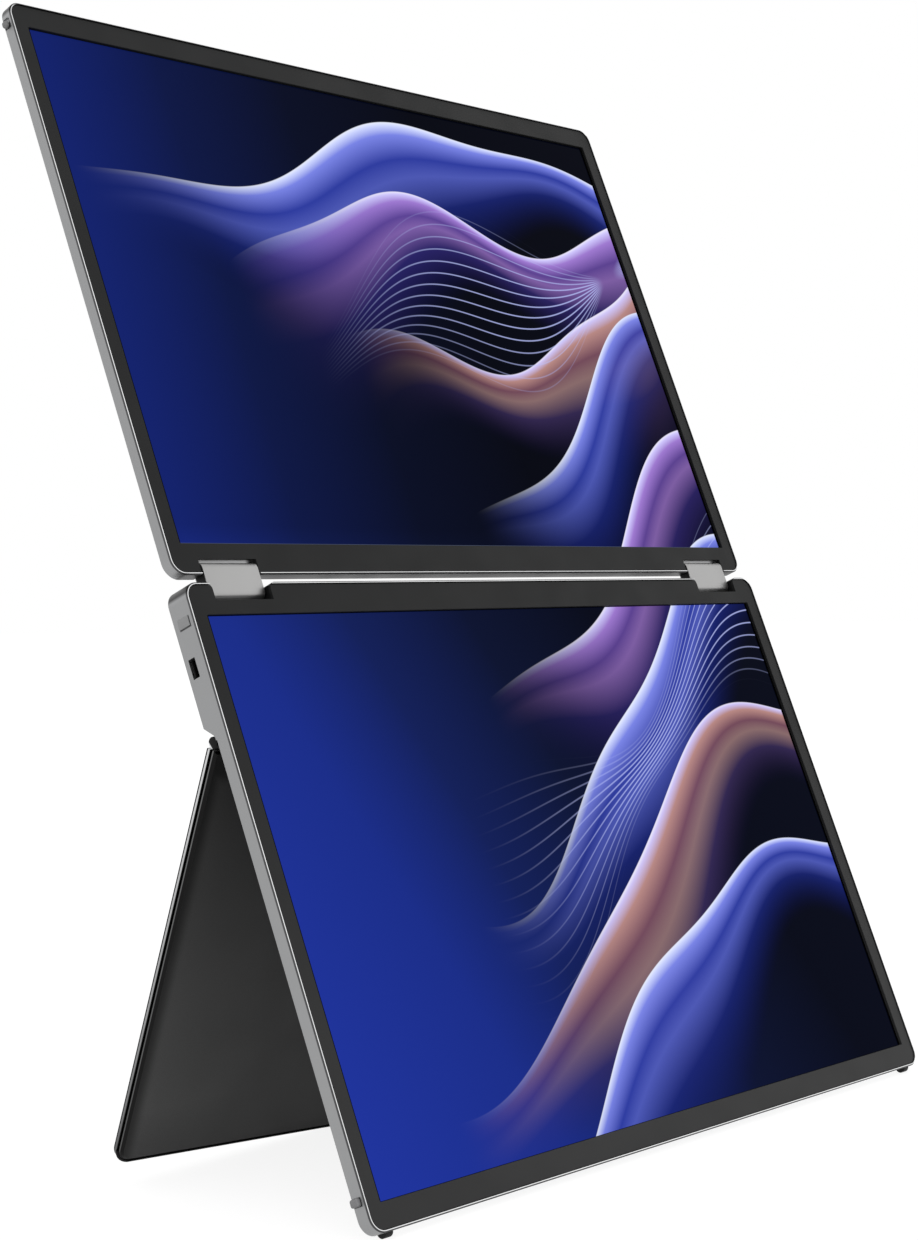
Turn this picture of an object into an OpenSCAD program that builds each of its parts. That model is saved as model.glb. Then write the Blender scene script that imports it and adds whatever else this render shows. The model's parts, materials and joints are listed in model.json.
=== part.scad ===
// Folding pair of 14 inch screens, one above the other, on a wide plate stand.
// Two links with two parallel pivots each join the halves, so they close face to face.
// Panel frame: x along the hinge, y up the screens from the middle of the hinge gap,
// z out of the screens, with z = 0 on the front of the lower rim.
// The world frame leans the panel frame back until the feet and the stand touch z = 0.

/* [Screen] */
// Width of the lit area
screen_w = 301.6; // [280:0.1:320]
// Height of the lit area
screen_h = 188.5; // [186:0.1:200]
// Unlit strip between the lit area and the bezel at the sides
screen_side_margin = 1.25; // [0.5:0.05:2]
// Unlit strip between the lit area and the bezel above and below
screen_end_margin = 0.8; // [0.3:0.05:2]
// Thickness of the glass sandwich
glass_t = 1.1; // [0.8:0.1:1.2]
// Thickness of the backlight tray behind the glass
backlight_t = 0.8; // [0.5:0.1:0.9]
// Border of the display module that the bezel covers
module_border = 2.6; // [2.2:0.1:3]

/* [Bezel] */
// Bezel width at the two sides
bezel_side = 5.9; // [5.6:0.1:12]
// Bezel width along the hinge
bezel_hinge = 10.3; // [10.2:0.1:16]
// Bezel width along the free edge
bezel_far = 8.1; // [5:0.1:14]
// Thickness of the bezel
bezel_t = 1.1; // [1:0.05:1.2]
// Depth of the bezel below the rim of the back cover
bezel_sink = 0.4; // [0.2:0.05:0.5]
// Gap between the bezel and the rim
bezel_gap = 0.15; // [0.1:0.05:0.3]
// Chamfer round the outside and the opening of the bezel
bezel_chamfer = 0.15; // [0.05:0.05:0.3]

/* [Back covers] */
// Thickness of the upper half
upper_t = 5.0; // [5:0.1:6]
// Thickness of the thin part of the lower half
lower_t = 5.6; // [5.4:0.1:6]
// Thickness of the block along the hinge of the lower half
block_t = 10.0; // [9.8:0.1:11]
// Height of that block, measured down from the hinge edge
block_h = 45.0; // [44:0.5:50]
// Slope of the step between the block and the thin part
step_angle = 45; // [40:1:50]
// Radius of the two bends of the step
step_r = 1.6; // [1.4:0.1:1.8]
// Corner radius of the halves
corner_r = 5.5; // [4:0.1:9]
// Width of the bright rim round the bezel
rim_w = 0.7; // [0.65:0.05:1]
// Chamfer on the front of the rim
rim_chamfer = 0.5; // [0.45:0.05:0.6]
// Chamfer on the rear edges of the covers
back_chamfer = 0.5; // [0.2:0.05:0.7]
// Thickness of the side walls
side_wall = 1.2; // [1.1:0.1:1.6]
// Thickness of the wall along the hinge and round the notches
hinge_wall = 0.9; // [0.7:0.05:0.95]
// Thickness of the rear walls
back_wall = 0.9; // [0.8:0.05:0.95]

/* [Hinge] */
// Gap between the two halves at the hinge
hinge_gap = 3.6; // [3.4:0.1:4]
// Distance from the hinge edge of each half to its pivot axis
axis_inset = 2.3; // [2.25:0.05:2.4]
// Gap between the rims when the halves are closed
closed_gap = 0.7; // [0.6:0.05:0.8]
// Distance from the side of the halves to the middle of each link
link_side = 25.3; // [24.8:0.1:38]
// Width of a link along its axes
link_w = 24.6; // [18:0.1:26]
// Thickness of a link
link_t = 4.9; // [4.7:0.1:5]
// Wall of the bright sleeve of a link
link_wall = 0.5; // [0.4:0.05:0.6]
// Gap between a link and the side of its notch
link_gap = 0.6; // [0.4:0.05:1]
// Depth of the lower notches from the hinge edge
lower_notch = 6.2; // [5.8:0.1:6.4]
// Depth of the upper notches from the hinge edge
upper_notch = 5.6; // [5.4:0.1:6.4]
// Rounding at the mouth of the lower notches
lower_mouth_r = 2.7; // [1:0.1:3]
// Rounding at the mouth of the upper notches
upper_mouth_r = 0.6; // [0.4:0.1:1]
// Radius of the hinge shafts
shaft_r = 1.0; // [0.8:0.05:1.05]
// Running clearance round a shaft or stand pin
running_gap = 0.05; // [0.02:0.01:0.09]
// Width of a bracket knuckle beside a notch
knuckle_w = 4.0; // [3:0.1:5]
// Metal over the shaft in the upper knuckles
knuckle_top = 0.35; // [0.25:0.05:0.4]
// Thickness of the bar that joins the knuckles behind a notch
bar_t = 1.8; // [1.4:0.1:2]
// Thickness of a bracket leaf
leaf_t = 1.2; // [0.9:0.1:1.2]
// Length of a bracket leaf along the hinge
leaf_l = 20; // [16:0.5:24]
// Width of a bracket leaf
leaf_w = 6.6; // [5:0.1:7]

/* [Stand] */
// Thickness of the stand
stand_t = 4.0; // [3.8:0.1:4.2]
// Gap between the folded stand and the thin part
stand_gap = 0.4; // [0.3:0.05:0.6]
// Distance from the end of the block to the stand's pivot axis
stand_back = 6.4; // [6.2:0.1:8]
// Length from the pivot axis to the middle of the free edge
stand_len = 156.7; // [130:0.1:157]
// Inset of the stand's sides from the sides of the lower half
stand_inset = 0.6; // [0.2:0.1:6]
// Angle by which the outer parts of the free edge rise
stand_slant = 4.06; // [1:0.01:6]
// Half the length of the straight middle of the free edge
stand_knee = 53.4; // [30:0.1:100]
// Radius of the stand's lower corners
stand_corner_r = 5.0; // [4:0.1:9]
// Angle between the stand and the lower half
stand_open = 42; // [38:0.5:50]
// Height of the bright side wall of the stand
stand_wall_h = 1.6; // [1.4:0.1:1.8]
// Thickness of the floor of the stand
stand_floor = 1.0; // [0.8:0.1:1.2]
// Thickness of the dark liner inside the stand
liner_t = 1.4; // [1.1:0.1:1.5]
// Inset of the liner from the sides of the stand
liner_inset = 0.2; // [0:0.05:0.5]
// Bevel round the liner
liner_bevel = 0.9; // [0.4:0.1:1]
// Depth of the dark groove under the liner
groove = 1.2; // [0.8:0.1:2]
// Height of the rubber strip on the free edge
strip_h = 1.0; // [0.6:0.1:1.2]
// Gap between the round spine and the plates
spine_gap = 0.4; // [0.3:0.05:0.8]
// Reach of the spine's web between the plates
web_l = 8; // [7:0.5:14]
// Distance from the side of the halves to the middle of each stand bracket
stand_bracket_side = 54.8; // [54.8:0.1:88]
// Width of a stand bracket
stand_bracket_w = 12; // [10:0.5:14]
// Length of a stand bracket inside the block
stand_leaf_l = 11; // [9:0.5:12]
// Radius of the stand's pins
stand_pin_r = 0.85; // [0.7:0.05:0.9]
// Metal round the pin in a stand bracket's eye
eye_wall = 1.0; // [0.8:0.05:1.05]
// Length of a stand pin held in the spine on each side of its bracket
pin_grip = 5; // [4:0.5:8]
// Gap between a stand bracket and the stand beside and round it
bracket_gap = 0.5; // [0.3:0.05:0.6]
// Length of the metal caps at the ends of the spine
cap_l = 1.0; // [0.8:0.1:2]

/* [Feet and bumpers] */
// Height of the feet below the bottom edge
foot_h = 1.5; // [1:0.1:1.7]
// Length of a foot
foot_l = 6.5; // [5:0.1:7]
// Distance from the side of the halves to the middle of each foot
foot_side = 9.3; // [9.3:0.1:38]
// Depth of the middle of a foot behind the rim
foot_z = 3.3; // [3.25:0.05:3.4]
// Depth of the pockets that hold feet and bumpers
pad_pocket = 0.5; // [0.3:0.05:0.6]
// Corner radius of the bumpers
bumper_r = 0.6; // [0.3:0.1:1]
// Height of the bumpers near the free edges
bumper_h = 1.5; // [0.8:0.1:2]
// Width of the upper bumpers
upper_bumper_w = 2.8; // [2.4:0.1:3]
// Length of the upper bumpers
upper_bumper_l = 3.5; // [2.5:0.1:8]
// Distance from the upper bumpers to the top edge
upper_bumper_end = 9.2; // [9:0.1:20]
// Width of the lower bumpers
lower_bumper_w = 3.4; // [2.4:0.1:3.4]
// Length of the lower bumpers
lower_bumper_l = 2.6; // [2.4:0.1:8]
// Distance from the lower bumpers to the bottom edge
lower_bumper_end = 9.5; // [9:0.1:20]
// Width of the flush bumpers near the hinge
hinge_bumper_w = 5.2; // [4:0.1:6]
// Length of the flush bumpers near the hinge
hinge_bumper_l = 3.5; // [2.5:0.1:6]
// Distance from the flush bumpers to the hinge edge
hinge_bumper_end = 10.3; // [9:0.1:14]
// Height of the flush bumpers
hinge_bumper_h = 0.3; // [0.2:0.05:0.6]

/* [Sockets and buttons] */
// Length of the lock slot
lock_l = 6.0; // [5:0.1:7]
// Width of the lock slot
lock_w = 2.5; // [2:0.1:2.8]
// Distance from the lock slot to the hinge edge
lock_y = 27.1; // [22:0.1:34]
// Depth of the lock slot behind the rim
lock_z = 6.0; // [5.6:0.1:6.2]
// Width of a USB-C socket
usb_w = 8.94; // [8.9:0.01:9.2]
// Height of a USB-C socket
usb_h = 3.26; // [3.2:0.01:3.4]
// Depth of a USB-C socket
usb_d = 7.3; // [6.5:0.1:7.5]
// Distance from the first socket to the hinge edge
usb_y = 27; // [26:0.5:28]
// Distance between the two sockets
usb_pitch = 12; // [11:0.5:12]
// Length of a side button
button_l = 9.0; // [7:0.1:12]
// Width of a side button
button_w = 2.0; // [1.6:0.1:2.1]
// Height of a side button above the side
button_h = 0.7; // [0.6:0.05:1]
// Travel of a side button
button_travel = 0.5; // [0.3:0.05:0.5]
// Gap round a side button
button_gap = 0.3; // [0.2:0.05:0.35]
// Distance from the power button to the hinge edge
power_y = 62; // [60:1:70]
// Distance between the two buttons
button_pitch = 14; // [13:0.5:20]

/* [Boards] */
// Thickness of the circuit boards
board_t = 0.8; // [0.6:0.1:1]
// Height of the posts under the main board
post_h = 1.6; // [1:0.1:1.8]
// Height of the posts under the port board and the bracket leaves
short_post_h = 0.7; // [0.5:0.1:0.8]
// Half the length of the main board
main_half_l = 88; // [70:1:90]
// Width of the main board
main_w = 20; // [16:0.5:21]
// Length of the port board
port_l = 30; // [24:0.5:34]
// Gap between the driver board in the upper half and the bracket leaves beside it
driver_gap = 10.6; // [8.6:0.1:24]
// Distance from the middle of the panel to each ribbon
ribbon_x = 46; // [44:1:52]
// Width of a ribbon
ribbon_w = 14; // [10:1:14]
// Thickness of a ribbon
ribbon_t = 0.2; // [0.1:0.05:0.3]
// Length of a chip
chip_l = 9; // [7:0.5:9]
// Width of a chip
chip_w = 4; // [3:0.5:5]
// Thickness of a chip
chip_t = 0.7; // [0.5:0.1:0.8]
// Side of the processor on the main board
processor_w = 15; // [12:0.5:15]
// Thickness of the processor
processor_t = 1.4; // [1:0.1:1.6]
// Radius of the capacitors on the main board
capacitor_r = 1.8; // [1.4:0.1:1.9]
// Height of the capacitors
capacitor_h = 1.8; // [1.2:0.1:2]
// Distance between the capacitors
capacitor_pitch = 4; // [3.9:0.1:4.2]

/* [Hidden] */
$fn = 64;
arc_steps = 10;

// Outline of both halves
edge = hinge_gap / 2;
panel_w = screen_w + 2 * (screen_side_margin + bezel_side + bezel_gap + rim_w);
opening_w = screen_w + 2 * screen_side_margin;
opening_h = screen_h + 2 * screen_end_margin;
panel_h = opening_h + bezel_hinge + bezel_far + 2 * (bezel_gap + rim_w);
half_w = panel_w / 2;
far = edge + panel_h;
wall_x = half_w - side_wall;
bezel_near = edge + rim_w + bezel_gap;
opening_near = bezel_near + bezel_hinge;
module_near = opening_near + screen_end_margin - module_border;
module_w = screen_w + 2 * module_border;
module_h = screen_h + 2 * module_border;
opening_r = 0.5;
module_r = 1;

// Depths in the lower half
ledge = bezel_sink + bezel_t;
module_back = ledge + glass_t + backlight_t;
block_floor = -block_t + back_wall;
thin_floor = -lower_t + back_wall;

// Hinge: the links are flush with the upper rim, and the rims close to closed_gap.
link_r = link_t / 2;
link_x = half_w - link_side;
axis_y = edge + axis_inset;
upper_rim = -(2 * axis_y - closed_gap - link_t);
axis_z = upper_rim - link_r;
notch_w = link_w + 2 * link_gap;
knuckle_x = notch_w / 2;
shaft_l = notch_w + 2 * knuckle_w - 1;
seat_gap = 0.05;
upper_floor = upper_rim - upper_t + back_wall;

// Step of the lower half and the stand's pivot
block_end = edge + block_h;
axis_stand_y = -(block_end + stand_back);
axis_stand_z = -(lower_t + stand_gap + stand_t / 2);
stand_r = stand_t / 2;
stand_half_w = half_w - stand_inset;
stand_bracket_x = half_w - stand_bracket_side;
foot_x = half_w - foot_side;
spine_half_l = stand_half_w - cap_l;
plate_start = stand_r + spine_gap;
eye_r = stand_pin_r + running_gap + eye_wall;
web_low = -stand_r + stand_floor;
arc_x = stand_half_w - stand_corner_r;
arc_y = -(stand_len - strip_h) + (arc_x - stand_knee) * tan(stand_slant)
    + stand_corner_r / cos(stand_slant);

// Screws
screw_head_r = 1.4;
screw_head_h = 0.5;
screw_r = 0.7;
post_r = 1.9;
screw_bite = 0.4;

// Small sizes of the feet, the sockets and the lock slot
foot_root_w = 3.2;
socket_gap = 0.1;
lock_lip = 0.3;
lock_plate_t = 1;

// Lean: a foot and the stand's free edge are circles of one radius that touch one floor.
foot_y = -(far + foot_h - stand_r);
tip_y = axis_stand_y - (stand_len - stand_r) * cos(stand_open);
tip_z = axis_stand_z - (stand_len - stand_r) * sin(stand_open);
lean = atan((tip_y - foot_y) / (-foot_z - tip_z));
raise = stand_r - foot_y * cos(lean) + foot_z * sin(lean);
front_y = -(far - rim_chamfer) * sin(lean);
rear_y = (far - back_chamfer) * sin(lean) + (upper_t - upper_rim) * cos(lean);

// Places the panel frame in the world, with the origin under the middle of the object.
module place() {
    translate([0, -(front_y + rear_y) / 2, raise]) rotate([90 - lean, 0, 0]) children();
}

// Places the stand's own frame, folded along -y, at its open angle.
module place_stand() {
    place() translate([0, axis_stand_y, axis_stand_z]) rotate([stand_open, 0, 0]) children();
}

// Extrudes a (y, z) outline from x0 to x1.
module along_x(x0, x1) {
    translate([x0, 0, 0]) rotate([90, 0, 90]) linear_extrude(x1 - x0) children();
}

// Extrudes an (x, z) outline from y0 to y1.
module along_y(y0, y1) {
    translate([0, y1, 0]) rotate([90, 0, 0]) linear_extrude(y1 - y0) children();
}

module box(x0, x1, y0, y1, z0, z1) {
    translate([x0, y0, z0]) cube([x1 - x0, y1 - y0, z1 - z0]);
}

module both_sides() {
    children();
    mirror([1, 0, 0]) children();
}

module round_rect(w, y0, y1, r) {
    translate([-w / 2, y0 + r]) square([w, y1 - y0 - 2 * r]);
    translate([-w / 2 + r, y0]) square([w - 2 * r, y1 - y0]);
    for (x = [-w / 2 + r, w / 2 - r], y = [y0 + r, y1 - r]) translate([x, y]) circle(r);
}

// Points of an arc round c from angle a0 to angle a1.
function arc_points(c, r, a0, a1) =
    [for (i = [0:arc_steps]) let (a = a0 + (a1 - a0) * i / arc_steps) c + r * [cos(a), sin(a)]];

module pill(l, w) {
    square([l - w, w], center = true);
    for (x = [-1, 1]) translate([x * (l - w) / 2, 0]) circle(w / 2);
}

// Rounded rectangular slab whose edge follows prof, a rising list of [inset, z].
module edge_slab(w, y0, y1, r, prof) {
    low = prof[0][1];
    high = prof[len(prof) - 1][1];
    right = [for (p = prof) [w / 2 - p[0], p[1]]];
    left = [for (i = [len(prof) - 1:-1:0]) [prof[i][0] - w / 2, prof[i][1]]];
    near = [for (p = prof) [y1 - p[0], p[1]]];
    away = [for (i = [len(prof) - 1:-1:0]) [y0 + prof[i][0], prof[i][1]]];
    along_y(y0 + r, y1 - r) polygon(concat(right, left));
    along_x(-w / 2 + r, w / 2 - r) polygon(concat(near, away));
    for (x = [-w / 2 + r, w / 2 - r], y = [y0 + r, y1 - r]) {
        translate([x, y, 0]) rotate_extrude()
            polygon(concat([[0, low]], [for (p = prof) [r - p[0], p[1]]], [[0, high]]));
    }
}

// Notch in a hinge edge at y = mouth, with rounded corners at its mouth.
module notch(bottom, mouth, mouth_r) {
    rise = mouth_r + 1;
    translate([-knuckle_x, bottom]) square([notch_w, mouth + rise - bottom]);
    for (m = [0, 1]) mirror([m, 0]) difference() {
        translate([knuckle_x, mouth - mouth_r]) square([mouth_r, mouth_r + rise]);
        translate([knuckle_x + mouth_r, mouth - mouth_r]) circle(mouth_r);
        translate([knuckle_x + mouth_r, mouth - mouth_r]) square([mouth_r, mouth_r + rise]);
    }
}

module at_links() {
    for (s = [-1, 1]) translate([s * link_x, 0, 0]) children();
}

// Cuts both notches through a half that lies below y = 0.
module cut_notches(depth, mouth_r) {
    at_links() translate([0, 0, -block_t - 1]) linear_extrude(block_t + 2)
        notch(-edge - depth, -edge, mouth_r);
}

// Mirrors a piece of the lower half's frame to the upper half.
module upper() {
    mirror([0, 1, 0]) children();
}

module frame_ring(rim) {
    translate([0, 0, rim - bezel_sink]) difference() {
        edge_slab(panel_w - 2 * (rim_w + bezel_gap), -far + rim_w + bezel_gap, -bezel_near,
            corner_r - rim_w - bezel_gap,
            [[0, -bezel_t], [0, -bezel_chamfer], [bezel_chamfer, 0]]);
        edge_slab(opening_w, -opening_near - opening_h, -opening_near, opening_r,
            [[0, -bezel_t - 1], [0, -bezel_chamfer], [-bezel_chamfer, 0], [-bezel_chamfer, 1]]);
    }
}

module display(rim) {
    color("midnightblue") translate([0, 0, rim - ledge - glass_t]) linear_extrude(glass_t)
        round_rect(module_w, -module_near - module_h, -module_near, module_r);
}

module backlight(rim) {
    inset = 0.3;
    color("gainsboro") translate([0, 0, rim - ledge - glass_t - backlight_t])
        linear_extrude(backlight_t)
            round_rect(module_w - 2 * inset, -module_near - module_h + inset,
                -module_near - inset, module_r);
}

module screw(x, y, seat, bite) {
    translate([x, y, seat]) cylinder(h = screw_head_h, r = screw_head_r);
    translate([x, y, seat - bite]) cylinder(h = bite, r = screw_r);
}

module post(x, y, base, h) {
    translate([x, y, base]) cylinder(h = h, r = post_r);
}

module screw_hole(x, y, base, h) {
    translate([x, y, base - screw_bite]) cylinder(h = h + screw_bite + 1, r = screw_r);
}

module chip(x, y, base) {
    box(x - chip_l / 2, x + chip_l / 2, -y - chip_w / 2, -y + chip_w / 2, base, base + chip_t);
}

// Hinge bracket: two knuckles beside a notch, a bar behind it and a leaf along the hinge.
leaf_near = edge + hinge_wall + 0.3;
leaf_screws = [-knuckle_x - knuckle_w - leaf_l + 3.5, -knuckle_x - knuckle_w - 5];
leaf_mid = leaf_near + leaf_w / 2;
driver_half_l = link_x - knuckle_x - knuckle_w - leaf_l - driver_gap;
chip_places = [for (s = [-1, 1], t = [-1, 1]) s * ribbon_x + t * (ribbon_w / 2 + chip_l)];

module hinge_bracket(depth, floor_z, top_z) {
    near = edge + hinge_wall + seat_gap;
    back = edge + depth + hinge_wall + seat_gap;
    outer = knuckle_x + knuckle_w;
    leaf_z = floor_z + short_post_h;
    color("dimgray") difference() {
        union() {
            for (m = [0, 1]) mirror([m, 0, 0]) {
                box(knuckle_x, outer, -back - bar_t, -near, floor_z + seat_gap, top_z - seat_gap);
            }
            box(-outer, outer, -back - bar_t, -back, floor_z + seat_gap, top_z - seat_gap);
            box(-outer - leaf_l, -knuckle_x - 1, -leaf_near - leaf_w, -leaf_near,
                leaf_z, leaf_z + leaf_t);
        }
        translate([0, -axis_y, axis_z]) rotate([0, 90, 0])
            cylinder(h = shaft_l, r = shaft_r, center = true);
        for (x = leaf_screws) translate([x, -leaf_mid, leaf_z - 1])
            cylinder(h = leaf_t + 2, r = screw_r);
    }
}

module hinge_shafts() {
    color("silver") at_links() translate([0, -axis_y, axis_z]) rotate([0, 90, 0])
        cylinder(h = shaft_l, r = shaft_r, center = true);
}

// Pad that stands on a side wall at x = half_w, centred at (y, z).
module side_pad(y, z, l, w, h) {
    top = 0.25;
    translate([half_w - pad_pocket, y, z]) rotate([90, 0, 90])
        edge_slab(l, -w / 2, w / 2, bumper_r,
            [[0, 0], [0, pad_pocket + h - top], [top, pad_pocket + h]]);
}

module side_pocket(y, z, l, w) {
    translate([half_w - pad_pocket, y, z]) rotate([90, 0, 90]) linear_extrude(pad_pocket + 1)
        round_rect(l, -w / 2, w / 2, bumper_r);
}

upper_bumper_y = -far + upper_bumper_end - upper_bumper_l / 2;
upper_bumper_z = upper_rim - upper_t + back_chamfer + upper_bumper_w / 2;
lower_bumper_y = -far + lower_bumper_end + lower_bumper_l / 2;
lower_bumper_z = -lower_t + back_chamfer + lower_bumper_w / 2;
hinge_bumper_y = -edge - hinge_bumper_end - hinge_bumper_l / 2;
hinge_bumper_z = -ledge - 0.7 - hinge_bumper_w / 2;

// Upper half

knuckle_top_z = axis_z + shaft_r + knuckle_top;

module upper_back_cover() {
    color("silver") place() upper() difference() {
        union() {
            difference() {
                translate([0, 0, upper_rim]) edge_slab(panel_w, -far, -edge, corner_r,
                    [[back_chamfer, -upper_t], [0, back_chamfer - upper_t], [0, -rim_chamfer],
                    [rim_chamfer, 0]]);
                translate([0, 0, upper_rim - ledge]) linear_extrude(ledge + 1)
                    round_rect(panel_w - 2 * rim_w, -far + rim_w, -edge - rim_w, corner_r - rim_w);
                translate([0, 0, upper_floor]) linear_extrude(upper_t) difference() {
                    round_rect(2 * wall_x, -far + side_wall, -edge - hinge_wall,
                        corner_r - side_wall);
                    at_links() translate([-knuckle_x, -edge - upper_notch - hinge_wall])
                        square([notch_w, upper_notch + hinge_wall]);
                }
            }
            both_sides() for (x = leaf_screws)
                post(link_x + x, -leaf_mid, upper_floor, short_post_h);
            both_sides() post(driver_half_l - 4, -leaf_mid, upper_floor, short_post_h);
        }
        cut_notches(upper_notch, upper_mouth_r);
        both_sides() for (x = leaf_screws)
            screw_hole(link_x + x, -leaf_mid, upper_floor, short_post_h);
        both_sides() screw_hole(driver_half_l - 4, -leaf_mid, upper_floor, short_post_h);
        both_sides() side_pocket(upper_bumper_y, upper_bumper_z, upper_bumper_l, upper_bumper_w);
    }
}

module upper_bezel() {
    color("#3a3b3d") place() upper() difference() {
        frame_ring(upper_rim);
        cut_notches(upper_notch, upper_mouth_r);
        at_links() box(-knuckle_x - knuckle_w - 0.3, knuckle_x + knuckle_w + 0.3,
            -edge - upper_notch - hinge_wall - bar_t - 0.4, -edge,
            upper_rim - ledge - 1, knuckle_top_z);
    }
}

module upper_display() {
    place() upper() display(upper_rim);
}

module upper_backlight() {
    place() upper() backlight(upper_rim);
}

module upper_driver_board() {
    low = upper_floor + short_post_h;
    color("darkgreen") place() upper() difference() {
        union() {
            box(-driver_half_l, driver_half_l, -leaf_near - leaf_w, -leaf_near, low, low + board_t);
            for (x = chip_places) chip(x, leaf_mid, low + board_t);
        }
        both_sides() translate([driver_half_l - 4, -leaf_mid, low - 1])
            cylinder(h = board_t + 2, r = screw_r);
    }
}

module upper_ribbon() {
    low = upper_floor + short_post_h + board_t;
    color("goldenrod") place() upper() for (x = [-ribbon_x, ribbon_x])
        box(x - ribbon_w / 2, x + ribbon_w / 2, -module_near, -leaf_near - leaf_w + 2,
            low, low + ribbon_t);
}

module upper_bumpers() {
    color("darkgray") place() upper() both_sides()
        side_pad(upper_bumper_y, upper_bumper_z, upper_bumper_l, upper_bumper_w, bumper_h);
}

module upper_hinge_brackets() {
    place() upper() both_sides() translate([link_x, 0, 0])
        hinge_bracket(upper_notch, upper_floor, knuckle_top_z);
}

module upper_hinge_shafts() {
    place() upper() hinge_shafts();
}

module upper_screws() {
    bracket_seat = upper_floor + short_post_h + leaf_t;
    board_seat = upper_floor + short_post_h + board_t;
    color("silver") place() upper() both_sides() {
        for (x = leaf_screws)
            screw(link_x + x, -leaf_mid, bracket_seat, leaf_t + short_post_h + screw_bite);
        screw(driver_half_l - 4, -leaf_mid, board_seat, board_t + short_post_h + screw_bite);
    }
}

// Links

// Outline of a link in (y, z): two circles of radius r on the pivot axes and the web between.
module link_outline(r) {
    for (y = [-axis_y, axis_y]) translate([y, axis_z]) circle(r);
    translate([-axis_y, axis_z - r]) square([2 * axis_y, 2 * r]);
}

module link_sleeve(side) {
    x = side * link_x;
    color("lightgray") place() along_x(x - link_w / 2, x + link_w / 2) difference() {
        link_outline(link_r);
        link_outline(link_r - link_wall);
    }
}

module link_core(side) {
    x = side * link_x;
    color("#202122") place() along_x(x - link_w / 2, x + link_w / 2) difference() {
        link_outline(link_r - link_wall);
        for (y = [-axis_y, axis_y]) translate([y, axis_z]) circle(shaft_r + running_gap);
    }
}

// Lower half

// Side outline of the lower half in (y, z), moved in by inset: block, sloped step, thin part.
module lower_side(inset) {
    thin_z = -lower_t + inset;
    convex = [-block_end, -block_t + step_r];
    convex_r = step_r - inset;
    concave_r = step_r + inset;
    start = convex - convex_r * [sin(step_angle), cos(step_angle)];
    knee_y = start[0] - (thin_z - start[1]) / tan(step_angle);
    concave = [knee_y - concave_r * tan(step_angle / 2), thin_z - concave_r];
    polygon(concat([[-far - 1, 1], [-far - 1, thin_z]],
        arc_points(concave, concave_r, 90, 90 - step_angle),
        arc_points(convex, convex_r, 270 - step_angle, 270),
        [[-edge + 1, -block_t + inset], [-edge + 1, 1]]));
}

main_y = module_near + 1;
main_mid = main_y + main_w / 2;
main_low = block_floor + post_h;
main_posts = [for (x = [main_half_l - 5, main_half_l / 3], y = [main_y + 3, main_y + main_w - 3])
    [x, -y]];
port_low = block_floor + short_post_h;
port_near = edge + usb_y - usb_w / 2 - 1;
port_far = edge + usb_y + usb_pitch + usb_w / 2 + 1;
port_x = wall_x - 0.2;
port_posts = [for (y = [port_near + 3, port_far - 3]) [port_x - port_l + 3, -y]];
usb_z = port_low + board_t + usb_h / 2;
usb_places = [for (i = [0, 1]) -(edge + usb_y + i * usb_pitch)];
stand_leaf_low = axis_stand_z - leaf_t / 2;
stand_leaf_end = block_end - stand_leaf_l;
stand_screws = [for (x = [-3.5, 3.5]) [stand_bracket_x + x, -(stand_leaf_end + 3)]];
button_z = -(ledge - thin_floor) / 2;
button_places = [-(edge + power_y), -(edge + power_y + button_pitch)];

module lower_shell() {
    difference() {
        intersection() {
            edge_slab(panel_w, -far, -edge, corner_r,
                [[back_chamfer, -block_t], [0, back_chamfer - block_t], [0, -rim_chamfer],
                [rim_chamfer, 0]]);
            along_x(-half_w - 1, half_w + 1) lower_side(0);
            union() {
                box(-half_w - 1, half_w + 1, axis_stand_y, 0, -block_t - 1, 1);
                edge_slab(panel_w, -far, -edge, corner_r,
                    [[back_chamfer, -lower_t], [0, back_chamfer - lower_t], [0, 0]]);
            }
        }
        translate([0, 0, -ledge]) linear_extrude(ledge + 1)
            round_rect(panel_w - 2 * rim_w, -far + rim_w, -edge - rim_w, corner_r - rim_w);
        intersection() {
            along_x(-wall_x - 1, wall_x + 1) lower_side(back_wall);
            translate([0, 0, -block_t]) linear_extrude(block_t + 1) difference() {
                round_rect(2 * wall_x, -far + side_wall, -edge - hinge_wall,
                    corner_r - side_wall);
                at_links() translate([-knuckle_x, -edge - lower_notch - hinge_wall])
                    square([notch_w, lower_notch + hinge_wall]);
            }
        }
    }
}

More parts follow.
